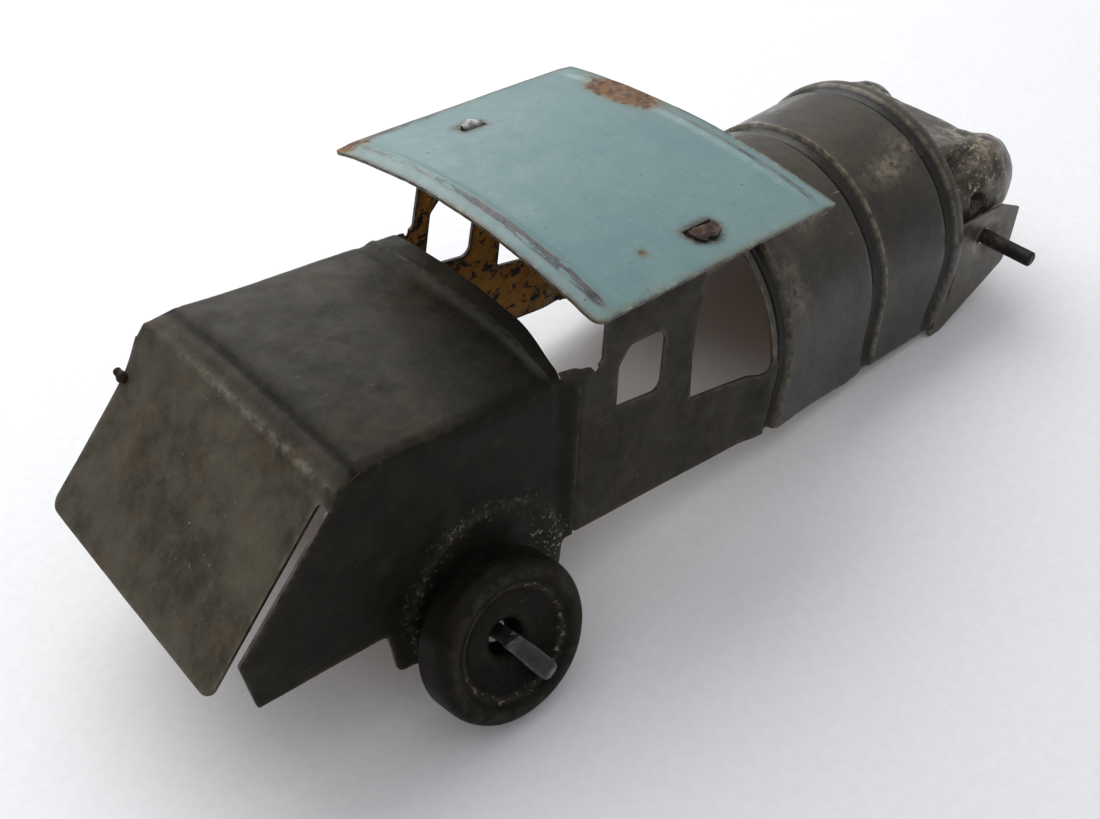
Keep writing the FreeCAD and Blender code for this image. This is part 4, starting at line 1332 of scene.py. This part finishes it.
def axle_strip():
    """Flat tin strip through both guards, with a bent, rounded tongue outside each wheel."""
    width = 1.5
    bend_y = 14.0
    swing, tilt = math.radians(27.0), math.radians(7.0)
    length, depth = 5.2, 0.95
    hub = np.array(HUB)
    level = hub[2] - (hub[1] - bend_y) * math.tan(CAMBER)
    inner = depth - SHEET
    end_y, end_z = hub[1] - inner * math.cos(CAMBER), hub[2] - inner * math.sin(CAMBER)
    sheet = Sheet()
    reach = math.hypot(end_y - bend_y, end_z - level)
    total = bend_y + reach
    half = width / 2
    outline = rounded([(-total, -half), (total, -half), (total, half), (-total, half)], 0.25)
    flat, faces, rim = flat_mesh(outline, spacing=0.25)
    v, u = flat.T
    ramp = np.clip(np.abs(v) - bend_y, 0, None)
    y = np.sign(v) * (np.minimum(np.abs(v), bend_y) + ramp * math.cos(CAMBER))
    z = level + SHEET + ramp * math.sin(CAMBER)
    points = np.stack([hub[0] + u, y, z], axis=1)
    sheet.patch(standing(points), faces, flip=True, wear=0.4 * fringe(rim, 0.15))
    for side in (NEAR, FAR):
        axis = np.array([0.0, side * math.cos(CAMBER), math.sin(CAMBER)])
        down = np.array([0.0, axis[2] * side, -axis[1] * side])
        along = down * math.cos(swing) + np.array([math.sin(swing), 0.0, 0.0])
        across = np.cross(axis, along)
        rising = along * math.cos(tilt) + axis * math.sin(tilt)
        outward = axis * math.cos(tilt) - along * math.sin(tilt)
        base = hub * np.array([1.0, side, 1.0]) - axis * depth
        outline = rounded([
            (-half, 0.0), (half, 0.0), (half * 1.22, 2.6, 3.0), (half * 1.2, length, 0.7),
            (-half * 1.2, length, 0.7), (-half * 1.22, 2.6, 3.0),
        ], 0.14)
        flat, faces, rim = flat_mesh(outline, spacing=0.14)
        u, v = flat.T
        hollow = 0.10 * (u / half) ** 2 - 0.7 * np.clip(1.1 - v, 0, None) ** 2
        points = base + across * u[:, None] + rising * v[:, None] + outward * (SHEET + hollow)[:, None]
        wear = np.maximum(0.35 * fringe(rim, 0.12), 0.9 * smooth(4.5, 5.1, v))
        wear = np.maximum(wear, 0.6 * smooth(0.9, 0.3, v))
        sheet.patch(standing(points), faces, wear=wear)
    return sheet.build("rear_axle_strip_skin", thickness=SHEET - 0.04)


def rod():
    """Blackened rod, thinner between the plates, with slightly rounded ends."""
    full, neck, end = ROD_R - 0.01, ROD_NECK_R - 0.01, ROD_END_Y - 0.02
    profile = curved([
        (0.0, end), (0.4, end - 0.01), (0.66, end - 0.05), (0.79, end - 0.16), (full, end - 0.38),
        (full, 17.4), (full, 16.6), (full, 15.8), (full, 13.16),
        (neck, 12.9), (neck, 8.0), (neck, 0.0),
    ], steps=4)
    profile = np.concatenate([profile, profile[:-1][::-1] * (1, -1)])
    wear = smooth(16.5, 15.9, np.abs(profile[:, 1]))
    centre = (ROD_X + SHIFT_X, 0, ROD_Z)
    return lathe("front_axle_rod_skin", profile, centre, (0, 1, 0), 40, 0.012, 9, wear=wear)


def burr():
    """Small burr left on the far edge of the tail."""
    parts = [
        ball_parts((-36.6, 12.75, 18.2), (0.50, 0.50, 0.62), 10, 14),
        ball_parts((-36.75, 13.15, 18.55), (0.36, 0.34, 0.42), 10, 14),
    ]
    bm = merged_lumps(parts, 0.09)
    bm.normal_update()
    for vert in bm.verts:
        vert.co += vert.normal * 0.09 * noise.noise(vert.co * 2.2)
    points = sloped(np.array([tuple(v.co) for v in bm.verts]))
    for vert, place in zip(bm.verts, points):
        vert.co = Vector(place)
    return finished("tail_burr", bm)


# ---- materials in use ----
TIN = tin_material(
    "dark_tin", dark=(0.030, 0.026, 0.018), mid=(0.066, 0.058, 0.041), warm=(0.085, 0.048, 0.020),
    bright=(0.24, 0.22, 0.17), sheen=0.09,
)
BOILER_TIN = tin_material(
    "boiler_tin", dark=(0.020, 0.0165, 0.0105), mid=(0.040, 0.033, 0.021), warm=(0.060, 0.034, 0.014),
    bright=(0.42, 0.35, 0.25), gloss=0.12, sheen=0.36,
)
WHEEL_TIN = tin_material(
    "wheel_tin", dark=(0.0040, 0.0036, 0.0028), mid=(0.0105, 0.0095, 0.0072), warm=(0.016, 0.0095, 0.005),
    bright=(0.12, 0.108, 0.075), sheen=0.06,
)
EDGE = edge_material("cut_edge", (0.022, 0.015, 0.010), (0.07, 0.05, 0.035))
PRINT = print_material()
ROOF = roof_material()
ROOF_UNDER = roof_under_material()
ROOF_EDGE = edge_material("roof_edge", (0.028, 0.019, 0.012), (0.12, 0.105, 0.065))
BARE = bare_material()
RUSTY = rusty_material("rusty_tab", (0.016, 0.011, 0.009), (0.075, 0.036, 0.020))
BRIGHT_TAB = rusty_material("bright_tab", (0.12, 0.12, 0.12), (0.45, 0.45, 0.44))
ROD_BLACK = rod_material()


def place_piece(piece, body, node=None):
    """Says which body a piece rides on, and hides the node that it stands for."""
    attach(piece, body)
    if node:
        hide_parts(node)


# ---- the pieces ----
bunker_skin = soften(dress(bunker(), TIN, PRINT, EDGE))
place_piece(bunker_skin, "body", "bunker_pressing")
place_piece(dress(burr(), RUSTY), "body")
for side in (NEAR, FAR):
    name = SIDE_NAME[side]
    cab = soften(dress(cab_side(side), TIN, PRINT, EDGE))
    place_piece(cab, "body", f"cab_side_{name}")
    tab_finish = RUSTY if side == NEAR else BRIGHT_TAB
    place_piece(soften(dress(roof_tab(side), tab_finish, tab_finish, RUSTY), 0.03), "body")
    plate = soften(dress(front_plate(side), BOILER_TIN, PRINT, EDGE))
    place_piece(plate, "body")
    place_piece(dress(rear_wheel(side), WHEEL_TIN), f"{name}_rear_wheel", f"rear_wheel_{name}")
roof_skin = soften(dress(roof(), ROOF, ROOF_UNDER, ROOF_EDGE))
place_piece(roof_skin, "body", "roof_sheet")
boiler_skin = soften(dress(boiler(), BOILER_TIN, PRINT, EDGE))
place_piece(boiler_skin, "body", "boiler_shell")
nose_skin = soften(dress(nose(), BOILER_TIN, PRINT, EDGE))
place_piece(nose_skin, "body", "smokebox_front")
place_piece(dress(rod(), ROD_BLACK), "front_axle", "front_axle_rod")
strip = soften(dress(axle_strip(), BARE, BARE, BARE), 0.03)
place_piece(strip, "body", "rear_axle_strip")


# ---- floor, light, camera ----
def floor():
    """Plain pale paper."""
    size = 3.0
    bm = bmesh.new()
    bmesh.ops.create_grid(bm, x_segments=4, y_segments=4, size=size)
    mesh = bpy.data.meshes.new("floor")
    bm.to_mesh(mesh)
    bm.free()
    piece = bpy.data.objects.new("floor", mesh)
    bpy.context.scene.collection.objects.link(piece)
    s = Shading("pale_floor")
    colour = s.mix(s.noise(0.02, 3.0), (0.78, 0.78, 0.79), (0.83, 0.83, 0.84))
    fibres = s.step(s.noise(0.9, 4.0, 0.75), 0.42, 0.60)
    colour = s.mix(s.times(fibres, 0.12), colour, (0.62, 0.62, 0.63))
    normal = s.bumps((s.noise(0.25, 4.0, 0.6), 0.10), (s.noise(1.3, 4.0, 0.7), 0.03))
    piece.data.materials.append(s.finish(colour, 0.7, normal))


def softbox(name, direction, distance, size, power, target=(0.0, 0.0, 0.01)):
    """Square soft light that faces the target."""
    light = bpy.data.lights.new(name, "AREA")
    light.shape = "RECTANGLE"
    light.size, light.size_y = size
    light.energy = power
    lamp = bpy.data.objects.new(name, light)
    towards = Vector(direction).normalized()
    lamp.location = Vector(target) + towards * distance
    lamp.rotation_mode = "QUATERNION"
    lamp.rotation_quaternion = (-towards).to_track_quat("-Z", "Y")
    bpy.context.scene.collection.objects.link(lamp)


def surroundings():
    """Soft light from all round, with two large softboxes above and behind."""
    world = bpy.data.worlds.new("studio")
    world.use_nodes = True
    background = world.node_tree.nodes["Background"]
    background.inputs["Color"].default_value = (0.95, 0.96, 1.0, 1.0)
    background.inputs["Strength"].default_value = 0.58
    bpy.context.scene.world = world
    softbox("key", (0.05, 0.66, 0.68), 0.36, (0.44, 0.38), 1.35)
    softbox("over", (0.20, 0.35, 1.0), 0.75, (1.6, 1.6), 1.7)


def camera():
    """Looks down on the toy from behind its near side."""
    azimuth, elevation = math.radians(-41.618), math.radians(42.530)
    target = Vector((-11.652, -3.188, 10.0)) * MM
    distance = 120.991 * MM
    back = Vector((
        math.sin(azimuth) * math.cos(elevation), -math.cos(azimuth) * math.cos(elevation),
        math.sin(elevation),
    ))
    data = bpy.data.cameras.new("camera")
    data.sensor_width = 36.0
    data.lens = 41.93
    data.clip_start = 0.005
    data.clip_end = 20.0
    viewer = bpy.data.objects.new("camera", data)
    viewer.rotation_mode = "QUATERNION"
    viewer.location = target + back * distance
    viewer.rotation_quaternion = (-back).to_track_quat("-Z", "Y")
    bpy.context.scene.collection.objects.link(viewer)
    bpy.context.scene.camera = viewer


floor()
surroundings()
camera()
bpy.context.scene.view_settings.view_transform = "Standard"
